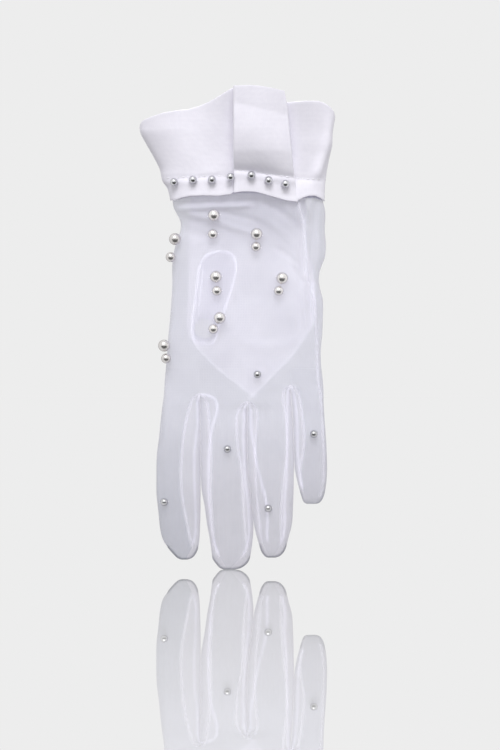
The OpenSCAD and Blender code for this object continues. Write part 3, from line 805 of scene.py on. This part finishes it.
bag = Bag()
for pts in ([(-25.6, -79.6), (-21.0, -85.4), (-14, -93), (-4.6, -100.4), (5.0, -107.6), (6.8, -108.9)],
            [(36.0, -69.5), (29.8, -80.2), (22.6, -89.8), (12.2, -100.2), (5.0, -107.6), (2.0, -110.4)]):
    pts = [p for p in pts if p[1] > -111.4]
    P, N = [], []
    for x, z in dense(pts, 0.8):
        p, n = surf("hand" if z > Z_TOP else ("middle" if x < 2.3 else "ring"), float(x), float(z), 1, 0.1)
        P.append(p); N.append(n)
    ribbon(bag, P, N, 1.7, 0.35)
ob = bag.make("lining_hem", M_HEM, merge=0)
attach(ob, "hand")
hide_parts("lining_seam")

bag = Bag()
side_pts = dense([(27.0, -4), (27.8, -12), (30.3, -21), (31.3, -33), (31.7, -46), (33.4, -52), (35.4, -58), (36.2, -65),
                  (36.6, -76), (36.9, -88), (37.4, -98), (38.3, -106)], 0.8)
P, N = [], []
for x, z in side_pts:
    p, n = surf("hand" if z > Z_TOP else "little", float(x), float(z), -1, 0.2)
    P.append(p); N.append(n)
N, P = np.array(N), np.array(P)
for _ in range(6):
    N[1:-1] = (N[:-2] + N[1:-1] + N[2:]) / 3
ribbon(bag, P, N, 2.2, 0.3)
ribbon(bag, P + N * 0.12, N, 1.1, 0.6)
ob = bag.make("side_seam_roll", M_SEAM, merge=0)
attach(ob, "hand")
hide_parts("hand_side_seam")

# ---------------------------------------------------------------- thumb
THUMB = spline([(-34.5, -13.6, -9.6, 0.0), (-35.1, -16.6, -6.6, 1.7), (-37, -19.4, -4.4, 3.0), (-40, -21.4, -3.3, 3.9),
                (-45, -22.9, -3.4, 4.4), (-52, -24.0, -5.0, 4.5), (-60, -24.8, -7.4, 4.5), (-68, -25.8, -10.2, 4.4),
                (-75, -26.4, -12.6, 4.3), (-79, -25.8, -13.6, 3.7), (-81.6, -23.8, -15.4, 2.5), (-82.8, -21.2, -18.0, 0.0)], 8)
TY = 15.0
for sd, nm in ((-1, "thumb_front_cloth"), (1, "thumb_back_cloth")):
    bag = Bag()
    z = THUMB[:, 0]
    fr = cos_cols(22, True, True)
    X = THUMB[:, 1][:, None] + (THUMB[:, 2] - THUMB[:, 1])[:, None] * fr[None, :]
    Z = np.repeat(z[:, None], X.shape[1], 1)
    u = (X - ((THUMB[:, 1] + THUMB[:, 2]) / 2)[:, None]) / (np.maximum(THUMB[:, 2] - THUMB[:, 1], 1e-3) / 2)[:, None]
    D = THUMB[:, 3][:, None] * se(u, 2.3)
    D = D + 0.25 * np.sin(X / 1.5 + Z / 9) * np.minimum(1, D / 3) + 0.2 * np.sin(Z / 3.1 + X / 5) * np.minimum(1, D / 3)
    Y = TY + sd * np.clip(D, 0, 4.55)
    bag.grid(np.dstack([X, Y, Z]), np.dstack([X / 10 * sd, Z / 10]), flip=sd > 0)
    thumb = bag.make(nm, M_THUMB)
    if sd < 0:
        bm = bmesh.new()
        bm.from_mesh(thumb.data)
        hole = [f for f in bm.faces if math.hypot(f.calc_center_median().x - cx, f.calc_center_median().z - cz) < cr]
        bmesh.ops.delete(bm, geom=hole, context="FACES")
        bm.to_mesh(thumb.data)
        bm.free()
    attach(thumb, "thumb")
    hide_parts("thumb_net")

bag = Bag()   # the seam round the thumb's outline
lft = [(r[1], r[0]) for r in THUMB[::5]]
rgt = [(r[2], r[0]) for r in THUMB[::5]][::-1]
loop = [(float(x), float(z)) for x, z in (rgt + lft)]
pts = dense(loop[:-1] + [loop[0]], 0.7)
P = np.array([(x, TY, z) for x, z in pts])
c = np.array([-15.5, TY, -58])
N = P - c
N[:, 2] *= 0.35
N /= np.linalg.norm(N, axis=1)[:, None]
P = P - N * 0.55 + np.array([0, -0.9, 0])
ribbon(bag, P, np.tile([0.0, -1.0, 0.0], (len(P), 1)), 1.7, 0.6)
inner = dense([(-20.0, -42.0), (-21.0, -51), (-21.9, -60), (-22.5, -66)], 0.7)
Q = np.array([(x, TY - 2.9, z) for x, z in inner])
ribbon(bag, Q, np.tile([0.0, -1.0, 0.0], (len(Q), 1)), 0.9, 0.3)
thumb_seam_roll = bag.make("thumb_outline_seam", M_CORD, merge=0)
bag = Bag()   # its side towards the palm: painted light, a strip whose strong emission stands in for light from behind showing through the rolled cloth
ribbon(bag, P + np.array([0, -0.5, 0]), np.tile([0.0, -1.0, 0.0], (len(P), 1)), 1.6, 0.3)
ribbon(bag, Q + np.array([0, -0.26, 0]), np.tile([0.0, -1.0, 0.0], (len(Q), 1)), 0.7, 0.16)
thumb_seam_glow = bag.make("thumb_outline_seam_glow", M_CORD_GLOW, merge=0)
for ob in (thumb_seam_roll, thumb_seam_glow):
    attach(ob, "thumb")

bag = Bag()   # the gusset that carries the thumb on the palm
rows, uvs = [], []
for k, yy in enumerate(np.linspace(0, 1, 7)):
    row, uv = [], []
    for i in range(40):
        a = 2 * math.pi * i / 40
        x, z = -19.5 + 5.2 * math.cos(a), -74 + 5.2 * math.sin(a)
        y0 = float(depth("hand", x, z, 1))
        rr = 5.2 + 0.55 * math.sin(math.pi * yy) + 0.12 * math.sin(9 * a)
        row.append((-19.5 + rr * math.cos(a), y0 * (1 - yy) + 10.9 * yy, -74 + rr * math.sin(a)))
        uv.append((a / 2, yy / 3))
    rows.append(row); uvs.append(uv)
bag.grid(np.array(rows), np.array(uvs), wrap=True, flip=True)
gusset = bag.make("thumb_gusset", M_THUMB)
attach(gusset, "hand")
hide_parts("thumb_seam")

# ---------------------------------------------------------------- cuff
CUFF = spline([(52, -55, 48.6, 18.6), (48, -54.2, 48, 18), (36, -53.2, 47, 16.4), (28, -52.2, 45.8, 15.2), (24, -51.6, 45.2, 14.6),
               (18, -48.4, 45, 13.4), (12, -45, 43.6, 12.1), (6, -42, 42.4, 10.9), (0, -40.6, 41.6, 10.1),
               (-4, -38, 41.3, 10.2), (-12, -36.2, 41.1, 10.8)])


# height of the wrist seam along x, on the left panel, the flap, and the right panel
SEAM_L = [(-42, 1.0), (-34.5, 1.2), (-15, 1.8), (-5, 2.2)]
SEAM_F = [(-4.4, 4.7), (4.2, 4.1), (12.8, 2.6), (21.2, 1.4), (25.4, 0.9)]
SEAM_R = [(25.5, 0.8), (36, 0.5), (42, 0.3)]


def seam_z(tab, x):
    return float(np.interp(x, [p[0] for p in tab], [p[1] for p in tab]))


def cuff_y(x, z, side, zs=0.0):
    l, r, b = col(CUFF, z, 1) + 0.4, col(CUFF, z, 2) - 0.4, col(CUFF, z, 3)
    u = (x - (l + r) / 2) / ((r - l) / 2)
    y = b * se(u, 2.3)
    y = y - 0.45 * np.exp(-((z - zs) / 0.7) ** 2) * se(u, 2)          # the stitch line pulls in
    y = y + 0.4 * smooth(0, -3, z - zs) * (1 + 0.5 * np.sin(x / 5.2)) * np.minimum(1, y / 4)
    y = y + (0.35 * np.sin(x / 7.5 + z / 21) * smooth(1, 16, z) + 0.22 * np.sin(x / 3.1 + 1.0) * np.exp(-((z - 3) / 4) ** 2)) * np.minimum(1, y / 5)
    return side * y


def edge_tab(tab, x):
    tab = np.array(tab, float)
    return np.interp(x, tab[:, 0], tab[:, 1])


def panel(name, xs_fn, top, bottom, y_fn, mat, thick=0.6, nc=46, nr=44, close=(False, False)):
    """A two-layered satin panel with a rounded fold all round. xs_fn gives left and right x at z.
    close says which sides curve round to meet the next panel."""
    s = cos_cols(nc - 1, *close)
    T = np.linspace(0, 1, nr)
    P = np.zeros((nr, nc, 3))
    for c in range(nc):
        # the column's foot and head follow the free edges
        for r in range(nr):
            t = T[r]
            z = 0.0
            xl, xr = xs_fn(0.0)
            x = xl + (xr - xl) * s[c]
            for _ in range(6):
                zt, zb = edge_tab(top, x), edge_tab(bottom, x)
                z = zt + (zb - zt) * t
                xl, xr = xs_fn(z)
                x = xl + (xr - xl) * s[c]
            P[r, c] = (x, y_fn(x, z), z)
    return folded_cloth(name, P, mat, thick)


def folded_cloth(name, P, mat, thick):
    """The cloth is doubled, with its edges folded in: a thin solid with rounded edges."""
    me_bag = Bag()
    dxy = np.sqrt(np.diff(P[:, :, 0], axis=1) ** 2 + np.diff(P[:, :, 1], axis=1) ** 2)
    U = np.hstack([np.zeros((len(P), 1)), np.cumsum(dxy, axis=1)]) / 10
    me_bag.grid(P, np.dstack([U, P[:, :, 2] / 10]))
    ob = me_bag.make(name, mat, merge=0)
    so = ob.modifiers.new("s", "SOLIDIFY")
    so.thickness = thick * MM
    so.offset = 0.0
    so.use_even_offset = True
    bv = ob.modifiers.new("b", "BEVEL")
    bv.width = 0.36 * thick * MM
    bv.segments = 2
    bv.limit_method = "ANGLE"
    bv.angle_limit = math.radians(50)
    dg = bpy.context.evaluated_depsgraph_get()
    me = bpy.data.meshes.new_from_object(ob.evaluated_get(dg))
    ob.modifiers.clear()
    ob.data = me
    me.polygons.foreach_set("use_smooth", [True] * len(me.polygons))
    return ob


def solid_xs(l_tab, r_tab):
    L, R = np.array(l_tab, float), np.array(r_tab, float)
    return lambda z: (float(np.interp(z, L[:, 0], L[:, 1])), float(np.interp(z, R[:, 0], R[:, 1])))


left_edge = [(z, float(col(CUFF, z, 1)) + 0.4) for z in np.linspace(-12, 30, 240)] + [(31.5, -49.5), (36, -45)]
LEFT_TOP = [(-52, 27.2), (-50.6, 29.6), (-48, 30.9), (-44, 32.2), (-39, 33.6), (-33, 34.6), (-27, 35.3), (-21.5, 36.8),
            (-17, 38.6), (-13.5, 40.4), (-9, 43.0), (-5, 45.2), (4, 44.6), (10, 42.5)]
LEFT_BOT = [(-40, -9.8), (-34, -9.9), (-30.5, -8.8), (-27, -8.1), (-20, -7.8), (-12.5, -8.1), (-6, -7.2), (-4.4, -6.0), (-2, -5.0), (4, -4.6), (10, -4.6)]


def left_y(x, z):
    y = float(cuff_y(x, z, -1, seam_z(SEAM_L, x)))
    l, r, b = float(col(CUFF, z, 1)) + 0.4, float(col(CUFF, z, 2)) - 0.4, float(col(CUFF, z, 3))
    u = (x - (l + r) / 2) / ((r - l) / 2)
    up = max(0.0, z - 2.0)
    rounder = float(se(u, 1.8) + 1e-6) / float(se(u, 2.3) + 1e-6)
    y *= 1 + (rounder - 1) * min(1.0, up / 30)
    # an even slope up from the seam, leaning out more at the side, and near the top beside the flap
    y *= (float(col(CUFF, 2.0, 3)) + 0.08 * up) / b if up > 0 else 1.0
    y *= 1 + 0.013 * float(smooth(-25, -44, x)) * up
    y -= 0.0036 * float(smooth(-24, -6, x)) * max(0.0, z - 10) ** 2
    return float(min(y, -0.02))


cuff_left = panel("cuff_left_satin", solid_xs(left_edge, [(-12, 3.5), (2, 3.5), (8, 10.0), (48, 10.0)]), LEFT_TOP, LEFT_BOT, left_y, M_SATIN, nc=64, close=(True, False))
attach(cuff_left, "hand"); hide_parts("cuff_left_panel")

RIGHT_TOP = [(6, 38.0), (22, 38.2), (28, 38.7), (33, 39.1), (38, 39.2), (41, 38.2), (43.6, 36.6), (45.4, 34.6), (46.2, 32.0)]
RIGHT_BOT = [(6, -4.6), (12, -5.8), (18, -8.2), (24, -10.2), (27, -10.4), (30, -8.9), (33, -7.9), (36, -7.8), (38.5, -8.8), (41.5, -10.8)]


def right_y(x, z):
    y = float(cuff_y(x, z, -1, seam_z(SEAM_R, x)))
    side = min(1.0, abs(y) / 6)
    y += 0.02 * max(0.0, z - 2.5) * side
    y += 1.6 * smooth(30, 20, x) * smooth(2, 14, z)          # tucked back under the flap
    y -= 0.0040 * float(smooth(42, 26, x)) * max(0.0, z - 12) ** 2
    ridge = float(np.interp(z, [-12, 1.4, 8.6, 14, 19, 26, 35, 42], [37.2, 37.6, 40.0, 42.0, 43.3, 44.2, 45.0, 45.5]))
    rise = math.exp(-((x - ridge) / 3.4) ** 2) if x < ridge else math.exp(-((x - ridge) / 1.7) ** 2)
    rise *= min(1.0, abs(y) / 2.2)                           # none where the panels meet
    y -= 1.9 * rise * smooth(-4, 6, z) * smooth(38, 22, z)   # the folded ridge
    return float(min(y, -0.02))


cuff_right = panel("cuff_right_satin", solid_xs([(-12, 7.5), (48, 7.5)], [(z, float(col(CUFF, z, 2)) - 0.4) for z in np.linspace(-12, 40, 300)]),
                   RIGHT_TOP, RIGHT_BOT, right_y, M_SATIN, nc=60, close=(False, True))
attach(cuff_right, "hand"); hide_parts("cuff_right_panel")

BACK_TOP = [(-55, 26.2), (-50, 28.4), (-44, 30.2), (-20, 33.0), (0, 34.0), (20, 34.2), (38, 34.4), (44, 33.2), (47, 30.5)]
BACK_BOT = [(-40, -9.6), (-33, -9.0), (-26, -7.0), (-14, -6.4), (0, -5.4), (12, -5.6), (20, -7.6), (30, -8.2), (36, -8.0), (42, -10.2)]
cuff_back = panel("cuff_back_satin", solid_xs([(z, float(col(CUFF, z, 1)) + 0.4) for z in np.linspace(-12, 40, 300)],
                                               [(z, float(col(CUFF, z, 2)) - 0.4) for z in np.linspace(-12, 40, 300)]),
                  BACK_TOP, BACK_BOT, lambda x, z: float(cuff_y(x, z, 1)), M_SATIN, nc=100, close=(True, True))
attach(cuff_back, "hand"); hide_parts("cuff_back_panel")

FLAP_TOP = [(-5, 45.8), (4, 46.0), (10, 45.5), (16, 44.5), (20, 43.6), (24, 43.3)]
FLAP_BOT = [(-5, -6.6), (-1, -6.0), (2, -5.9), (6, -6.1), (10, -7.0), (14, -8.1), (17, -9.0), (22, -10.3), (27.4, -10.9)]


def flap_y(x, z):
    zs = seam_z(SEAM_F, x)
    y = float(cuff_y(x, z, -1, zs)) - 2.1
    # it swells out over the seam, most on its left, and then stands upright
    if z > zs + 0.3:
        y -= (5.6 - 2.4 * float(smooth(4, 24, x))) * (1 - math.exp(-(z - zs - 0.3) / 9.5))
    y += 0.3 * math.exp(-((z - zs - 1.2) / 1.4) ** 2)
    y -= 0.7 * math.exp(-((x - 9) / 12) ** 2) * float(smooth(0, 9, z))
    y += 0.13 * max(0.0, z - 14)
    crease = 37.5 - (x + 4) * 0.22
    y -= 0.16 * max(0.0, z - crease)
    # below the seam the right half turns in a little
    y += 1.1 * float(smooth(4, 16, x)) * float(smooth(zs, zs - 5, z)) + 0.5 * float(smooth(-1, -9, z))
    return float(y)


flap_xs = solid_xs([(-12, -4.4), (50, -4.5)], [(-12, 27.4), (-10.8, 27.0), (5.5, 25.0), (23, 23.0), (35.5, 22.0), (45, 20.0), (50, 19.5)])


def flap_row(t):
    """One row of the pleat: back along the left return, across the front, and back on the right."""
    row = []
    turn = np.linspace(0, math.pi / 2, 5)
    plan = [("l", f) for f in (1.0, 0.8, 0.6, 0.4, 0.2)] + [("lt", a) for a in turn[:-1]]
    plan += [("f", q) for q in np.linspace(0, 1, 38)]
    plan += [("rt", a) for a in turn[::-1][1:]] + [("r", f) for f in (0.2, 0.4, 0.6, 0.8, 1.0)]
    for kind, q in plan:
        z, x, dy = 0.0, 0.0, 0.0
        for _ in range(6):
            xl, xr = flap_xs(z)
            x = {"l": xl + 0.3 * q, "lt": xl + 0.6 * (1 - math.cos(q)), "f": xl + 0.6 + (xr - xl - 1.2) * q,
                 "rt": xr - 0.6 * (1 - math.cos(q)), "r": xr - 0.3 * q}[kind]
            z = edge_tab(FLAP_TOP, x) * (1 - t) + edge_tab(FLAP_BOT, x) * t
        y = flap_y(x, z)
        if kind in ("lt", "rt"):
            y += 0.6 * (1 - math.sin(q))
        if kind in ("l", "r"):
            foot = (left_y(x, z) if kind == "l" else right_y(x, z)) - 0.65
            top = 40.0 if kind == "l" else 33.0
            foot += (y + 2.4 - foot) * float(smooth(top, top + 5, z))
            y += 0.6 + max(0.0, foot - y - 0.6) * q
        row.append((x, y, z))
    return row


cuff_flap = folded_cloth("cuff_flap_satin", np.array([flap_row(t) for t in np.linspace(0, 1, 64)]), M_SATIN, 0.6)
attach(cuff_flap, "hand"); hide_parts("cuff_pleat_flap")


def cuff_front(x, z):
    """Outer surface of the satin in front, in mm."""
    if -4.6 < x < 25.4:
        return flap_y(x, z) - 0.3
    return (left_y(x, z) if x < -4.6 else right_y(x, z)) - 0.3


ROW = [(-34.5, -1.0), (-25, 0.0), (-15.5, 0.0), (-6.2, 1.2), (4.2, 2.0), (12.8, -0.5), (21.2, -2.2)]


def row_z(x):
    return seam_z(SEAM_L if x < -4.6 else SEAM_F if x < 25.4 else SEAM_R, x)


bag = Bag()
for x in np.arange(-37.6, 38.5, 2.6):
    if min(math.hypot(x - p[0], row_z(x) - p[1]) for p in ROW) < 2.3 or abs(x + 4.6) < 1.3 or abs(x - 25.6) < 1.4:
        continue
    pts, nrm = [], []
    for t in np.linspace(-1, 1, 9):
        xx = x + t * 0.85
        zz = row_z(xx)
        sink = 0.16 * (abs(t) ** 3) * 2
        pts.append((xx, cuff_front(xx, zz) - 0.14 + sink, zz))
        nrm.append((0, -1, 0))
    ribbon(bag, pts, nrm, 0.46, 0.40, 8)
ob = bag.make("wrist_stitches", M_THREAD, merge=0)
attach(ob, "hand"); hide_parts("wrist_stitching")


# ---------------------------------------------------------------- pearls
def bead(bag, c, r, tilt=0.0):
    """A bead with a drilled hole, whose ends are softly rounded."""
    hr = 0.11 * r
    a0 = math.asin(hr / r) * 1.7
    prof = []
    for a in np.linspace(a0, math.pi - a0, 29):
        prof.append((r * math.sin(a), r * math.cos(a)))
    e = prof[-1]
    prof += [(hr * 1.35, -r * 0.985), (hr, -r * 0.94), (hr, -r * 0.5), (hr, r * 0.5), (hr, r * 0.94), (hr * 1.35, r * 0.985)]
    n = 40
    P, UV = [], []
    ct, st = math.cos(tilt), math.sin(tilt)
    for i in range(n):
        b = 2 * math.pi * i / n
        row = []
        for q, h in prof:
            x, y, z = h, q * math.cos(b), q * math.sin(b)      # the hole lies across, along x
            row.append((c[0] + x * ct - z * st, c[1] + y, c[2] + x * st + z * ct))
        P.append(row + [row[0]])
        UV.append([(i / n, k / len(prof)) for k in range(len(prof) + 1)])
    P.append(P[0])
    UV.append([(1.0, k / len(prof)) for k in range(len(prof) + 1)])
    sub = Bag()
    sub.grid(np.array(P), np.array(UV), flip=True)
    base = len(bag.v)
    bag.v += sub.v
    bag.uv += sub.uv
    bag.f += [tuple(base + k for k in f) for f in sub.f]


def loop_thread(bag, c, r, ysurf, tilt=0.0):
    """The thread that runs through the bead and down into the cloth on both sides."""
    ct, st = math.cos(tilt), math.sin(tilt)
    path = []
    for h, dy in ((-0.62, ysurf - c[1] + 0.3), (-0.92, (ysurf - c[1]) * 0.6), (-1.07, (ysurf - c[1]) * 0.22), (-0.99, 0.0), (-0.5, 0), (0.5, 0),
                  (0.99, 0.0), (1.07, (ysurf - c[1]) * 0.22), (0.92, (ysurf - c[1]) * 0.6), (0.62, ysurf - c[1] + 0.3)):
        path.append((c[0] + h * r * ct, c[1] + dy, c[2] + h * r * st))
    p = np.array(path)
    n = np.tile([0.0, -0.2, 1.0], (len(p), 1))
    ribbon(bag, p, n, 0.2, 0.2, 8)


PEARLS = {
    "large_pearls": ("hand", "hand", 3.0, M_PEARL, "pearl_white", [(-14.5, -17.8), (6.8, -27.2), (-34, -29.5), (-13.5, -48.5),
                                                   (19.5, -49.2), (-11.6, -69), (-39.5, -82.8)]),
    "small_pearls": ("hand", "hand", 2.5, M_PEARL, "pearl_white", [(-15, -27.2), (6.5, -33.5), (-36.2, -38.5), (-13, -55.5),
                                                   (17.8, -55.5), (-14.8, -74.5), (-38.5, -89.2)]),
    "hand_single_pearl": ("hand", "hand", 1.9, M_PEARL3, "pearl_silver", [(7.2, -97.2)]),
    "index_pearl": ("index", "index_finger", 1.9, M_PEARL3, "pearl_silver", [(-39.4, -161)]),
    "middle_pearl": ("middle", "middle_finger", 1.9, M_PEARL3, "pearl_silver", [(-7.8, -134.5)]),
    "ring_pearl": ("ring", "ring_finger", 1.9, M_PEARL3, "pearl_silver", [(12.6, -164.2)]),
    "little_pearl": ("little", "little_finger", 1.9, M_PEARL3, "pearl_silver", [(35.4, -127)]),
}
tilts = [0.15, -0.2, 0.9, 0.1, -0.3, 0.35, 1.1]
hand_threads = Bag()
for node, (where, body, r, mat, slot_name, spots) in PEARLS.items():
    bag, tb = Bag(), (hand_threads if body == "hand" else Bag())
    for k, (x, z) in enumerate(spots):
        if x < -30 and where == "hand":
            y = -7.0 if r == 3.0 else -6.5
            xs = -34.4 if z > -60 else -36.4
            ys = -float(depth("hand", xs, z, -1))
            bead(bag, (x, y, z), r, tilts[k])
            path = [(xs, ys + 0.3, z - 0.6), (x + r * 0.8, y + 1.4, z - 0.3), (x + r * 0.5, y + 0.2, z), (x, y, z), (x - r * 0.6, y, z)]
            ribbon(tb, np.array(path), np.tile([0.0, -0.2, 1.0], (5, 1)), 0.25, 0.25, 8)
            continue
        wh = where if not (where == "hand" and z < Z_TOP) else "ring"
        ys = -float(depth(wh, x, z, -1))
        y = ys - r - 0.1
        bead(bag, (x, y, z), r, tilts[k % 7])
        loop_thread(tb, (x, y, z), r, ys, tilts[k % 7])
    ob = bag.make(node + "_beads", mat, merge=0.005)
    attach(ob, body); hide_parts(node)
    if body != "hand":
        tob = tb.make(where + "_pearl_thread", M_THREAD, merge=0)
        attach(tob, body)
bag = Bag()
for k, (x, z) in enumerate(ROW):
    ys = cuff_front(x, z)
    if -8 < x < -4.6:
        ys = cuff_front(-4.5, z) + 0.75
    bead(bag, (x, ys - 2.0 + 0.15, z), 2.0, 0.0)
    loop_thread(hand_threads, (x, ys - 2.0 + 0.15, z), 2.0, ys, 0.0)
ob = bag.make("wrist_row_beads", M_PEARL2, merge=0.005)
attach(ob, "hand"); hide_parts("wrist_row_pearls")
ob = hand_threads.make("pearl_thread_loops", M_THREAD, merge=0)
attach(ob, "hand"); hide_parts("pearl_threads")


# light goes through the sheer cloth, so it casts no shadow on the layers inside
for ob in bpy.context.scene.objects:
    if ob.type == "MESH" and ob.data.materials and ob.data.materials[0] and ob.data.materials[0].name.split(".")[0] in (
            "net_cloth", "finger_net_cloth", "index_net_cloth", "little_net_cloth", "thumb_seam_inner_cloth", "fourchette_cloth", "lining_cloth", "thumb_cloth",
            "seam_cloth", "palm_seam_cloth", "thumb_seam_cloth", "hem_cloth", "tip_seam_cloth", "little_tip_cloth"):
        ob.visible_shadow = False

# ---------------------------------------------------------------- stage, light, camera
BG = 0.847
fl = bpy.data.meshes.new("floor")
S = 9.0
fl.from_pydata([(-S, -3, -0.1952), (S, -3, -0.1952), (S, 12, -0.1952), (-S, 12, -0.1952)], [], [(0, 1, 2, 3)])
floor = link("floor", fl)
m = bpy.data.materials.new("floor_gloss")
m.use_nodes = True
nt = m.node_tree
nt.nodes.clear()
out = nt.nodes.new("ShaderNodeOutputMaterial")
gl = nt.nodes.new("ShaderNodeBsdfGlossy")
gl.inputs["Roughness"].default_value = 0.0
gl.inputs["Color"].default_value = (1, 1, 1, 1)
em = nt.nodes.new("ShaderNodeEmission")
em.inputs["Color"].default_value = (BG, BG, BG, 1)
mx = nt.nodes.new("ShaderNodeMixShader")
tc = nt.nodes.new("ShaderNodeTexCoord")
sp = nt.nodes.new("ShaderNodeSeparateXYZ")
nt.links.new(tc.outputs["Object"], sp.inputs[0])
mr = nt.nodes.new("ShaderNodeMapRange")
mr.inputs["From Min"].default_value, mr.inputs["From Max"].default_value = -0.58, 0.0
mr.inputs["To Min"].default_value, mr.inputs["To Max"].default_value = 0.60, 0.78
nt.links.new(sp.outputs["Y"], mr.inputs["Value"])
nt.links.new(mr.outputs["Result"], mx.inputs[0])
nt.links.new(em.outputs[0], mx.inputs[1])
nt.links.new(gl.outputs[0], mx.inputs[2])
em2 = nt.nodes.new("ShaderNodeEmission")   # what the object itself sees of the floor
mr2 = nt.nodes.new("ShaderNodeMapRange")
mr2.interpolation_type = "SMOOTHSTEP"
mr2.inputs["From Min"].default_value, mr2.inputs["From Max"].default_value = -0.015, -0.12
mr2.inputs["To Min"].default_value, mr2.inputs["To Max"].default_value = 0.0, 0.80
nt.links.new(sp.outputs["Y"], mr2.inputs["Value"])
slope = nt.nodes.new("ShaderNodeMath")
slope.operation = "DIVIDE"
nt.links.new(sp.outputs["X"], slope.inputs[0])
nt.links.new(sp.outputs["Y"], slope.inputs[1])
slope_abs = nt.nodes.new("ShaderNodeMath")
slope_abs.operation = "ABSOLUTE"
nt.links.new(slope.outputs[0], slope_abs.inputs[0])
wedge = nt.nodes.new("ShaderNodeMapRange")
wedge.interpolation_type = "SMOOTHSTEP"
wedge.inputs["From Min"].default_value, wedge.inputs["From Max"].default_value = 2.6, 0.8
nt.links.new(slope_abs.outputs[0], wedge.inputs["Value"])
dimmed = nt.nodes.new("ShaderNodeMath")
dimmed.operation = "MULTIPLY"
nt.links.new(mr2.outputs["Result"], dimmed.inputs[0])
nt.links.new(wedge.outputs["Result"], dimmed.inputs[1])
lit = nt.nodes.new("ShaderNodeMath")
lit.operation = "SUBTRACT"
lit.inputs[0].default_value = 0.82
nt.links.new(dimmed.outputs[0], lit.inputs[1])
lp = nt.nodes.new("ShaderNodeLightPath")
sel = nt.nodes.new("ShaderNodeMix")
nt.links.new(lp.outputs["Is Glossy Ray"], sel.inputs[0])
sel.inputs[2].default_value = 0.40
nt.links.new(lit.outputs[0], sel.inputs[3])
nt.links.new(sel.outputs[0], em2.inputs["Strength"])
mx2 = nt.nodes.new("ShaderNodeMixShader")
nt.links.new(lp.outputs["Is Camera Ray"], mx2.inputs[0])
nt.links.new(em2.outputs[0], mx2.inputs[1])
nt.links.new(mx.outputs[0], mx2.inputs[2])
nt.links.new(mx2.outputs[0], out.inputs["Surface"])
fl.materials.append(m)

w = bpy.data.worlds.new("studio")
bpy.context.scene.world = w
w.use_nodes = True
nt = w.node_tree
bg = nt.nodes["Background"]
bg.inputs["Color"].default_value = (1, 1, 1, 1)
lp = nt.nodes.new("ShaderNodeLightPath")
tc = nt.nodes.new("ShaderNodeTexCoord")
sp = nt.nodes.new("ShaderNodeSeparateXYZ")
nt.links.new(tc.outputs["Generated"], sp.inputs[0])


def maprange(src, a, b, lo, hi, kind="SMOOTHSTEP"):
    n = nt.nodes.new("ShaderNodeMapRange")
    n.interpolation_type = kind
    n.inputs["From Min"].default_value, n.inputs["From Max"].default_value = a, b
    n.inputs["To Min"].default_value, n.inputs["To Max"].default_value = lo, hi
    nt.links.new(src, n.inputs["Value"])
    return n.outputs["Result"]


def math2(op, a, b):
    n = nt.nodes.new("ShaderNodeMath")
    n.operation = op
    for i, v in enumerate((a, b)):
        if isinstance(v, (int, float)):
            n.inputs[i].default_value = v
        else:
            nt.links.new(v, n.inputs[i])
    return n.outputs[0]


# reflections: an even pale tent with one soft box high in front
dot = nt.nodes.new("ShaderNodeVectorMath")
dot.operation = "DOT_PRODUCT"
nt.links.new(tc.outputs["Generated"], dot.inputs[0])
dot.inputs[1].default_value = (-0.12, -0.72, 0.684)
gloss = math2("ADD", BG, maprange(dot.outputs["Value"], 0.90, 0.975, 0.0, 2.4))
# soft light: brighter from above than from below
soft = maprange(sp.outputs["Z"], -0.8, 0.9, 0.38, 0.93)
a = math2("MULTIPLY", lp.outputs["Is Glossy Ray"], gloss)
b = math2("MULTIPLY", math2("SUBTRACT", 1.0, lp.outputs["Is Glossy Ray"]), soft)
other = math2("ADD", a, b)
c1 = math2("MULTIPLY", lp.outputs["Is Camera Ray"], BG)
c2 = math2("MULTIPLY", math2("SUBTRACT", 1.0, lp.outputs["Is Camera Ray"]), other)
nt.links.new(math2("ADD", c1, c2), bg.inputs["Strength"])


def area(name, loc, target, sx, sy, power, color=(1, 1, 1)):
    d = bpy.data.lights.new(name, "AREA")
    d.shape, d.size, d.size_y, d.energy, d.color = "RECTANGLE", sx, sy, power, color
    o = bpy.data.objects.new(name, d)
    bpy.context.scene.collection.objects.link(o)
    o.location = loc
    o.rotation_euler = (Vector(target) - Vector(loc)).to_track_quat("-Z", "Y").to_euler()
    o.visible_camera = False
    o.visible_glossy = False
    return o


area("key", (0.0, -0.80, 0.84), (0, 0, -0.04), 0.7, 0.45, 8.9)
area("fill", (0.25, -1.40, 0.25), (0, 0, -0.05), 0.6, 0.6, 0.9)

cam_d = bpy.data.cameras.new("cam")
cam = bpy.data.objects.new("cam", cam_d)
bpy.context.scene.collection.objects.link(cam)
cam.location = (0.0035, -1.508, -0.0975)
cam.rotation_euler = (math.radians(90), 0, 0)
cam_d.sensor_width = 36
cam_d.lens = 36 * 1.5 / 0.375
cam_d.clip_end = 60
bpy.context.scene.camera = cam
sc = bpy.context.scene
sc.view_settings.view_transform = "Standard"
sc.view_settings.look = "None"
sc.cycles.transparent_max_bounces = 32
sc.cycles.max_bounces = 10
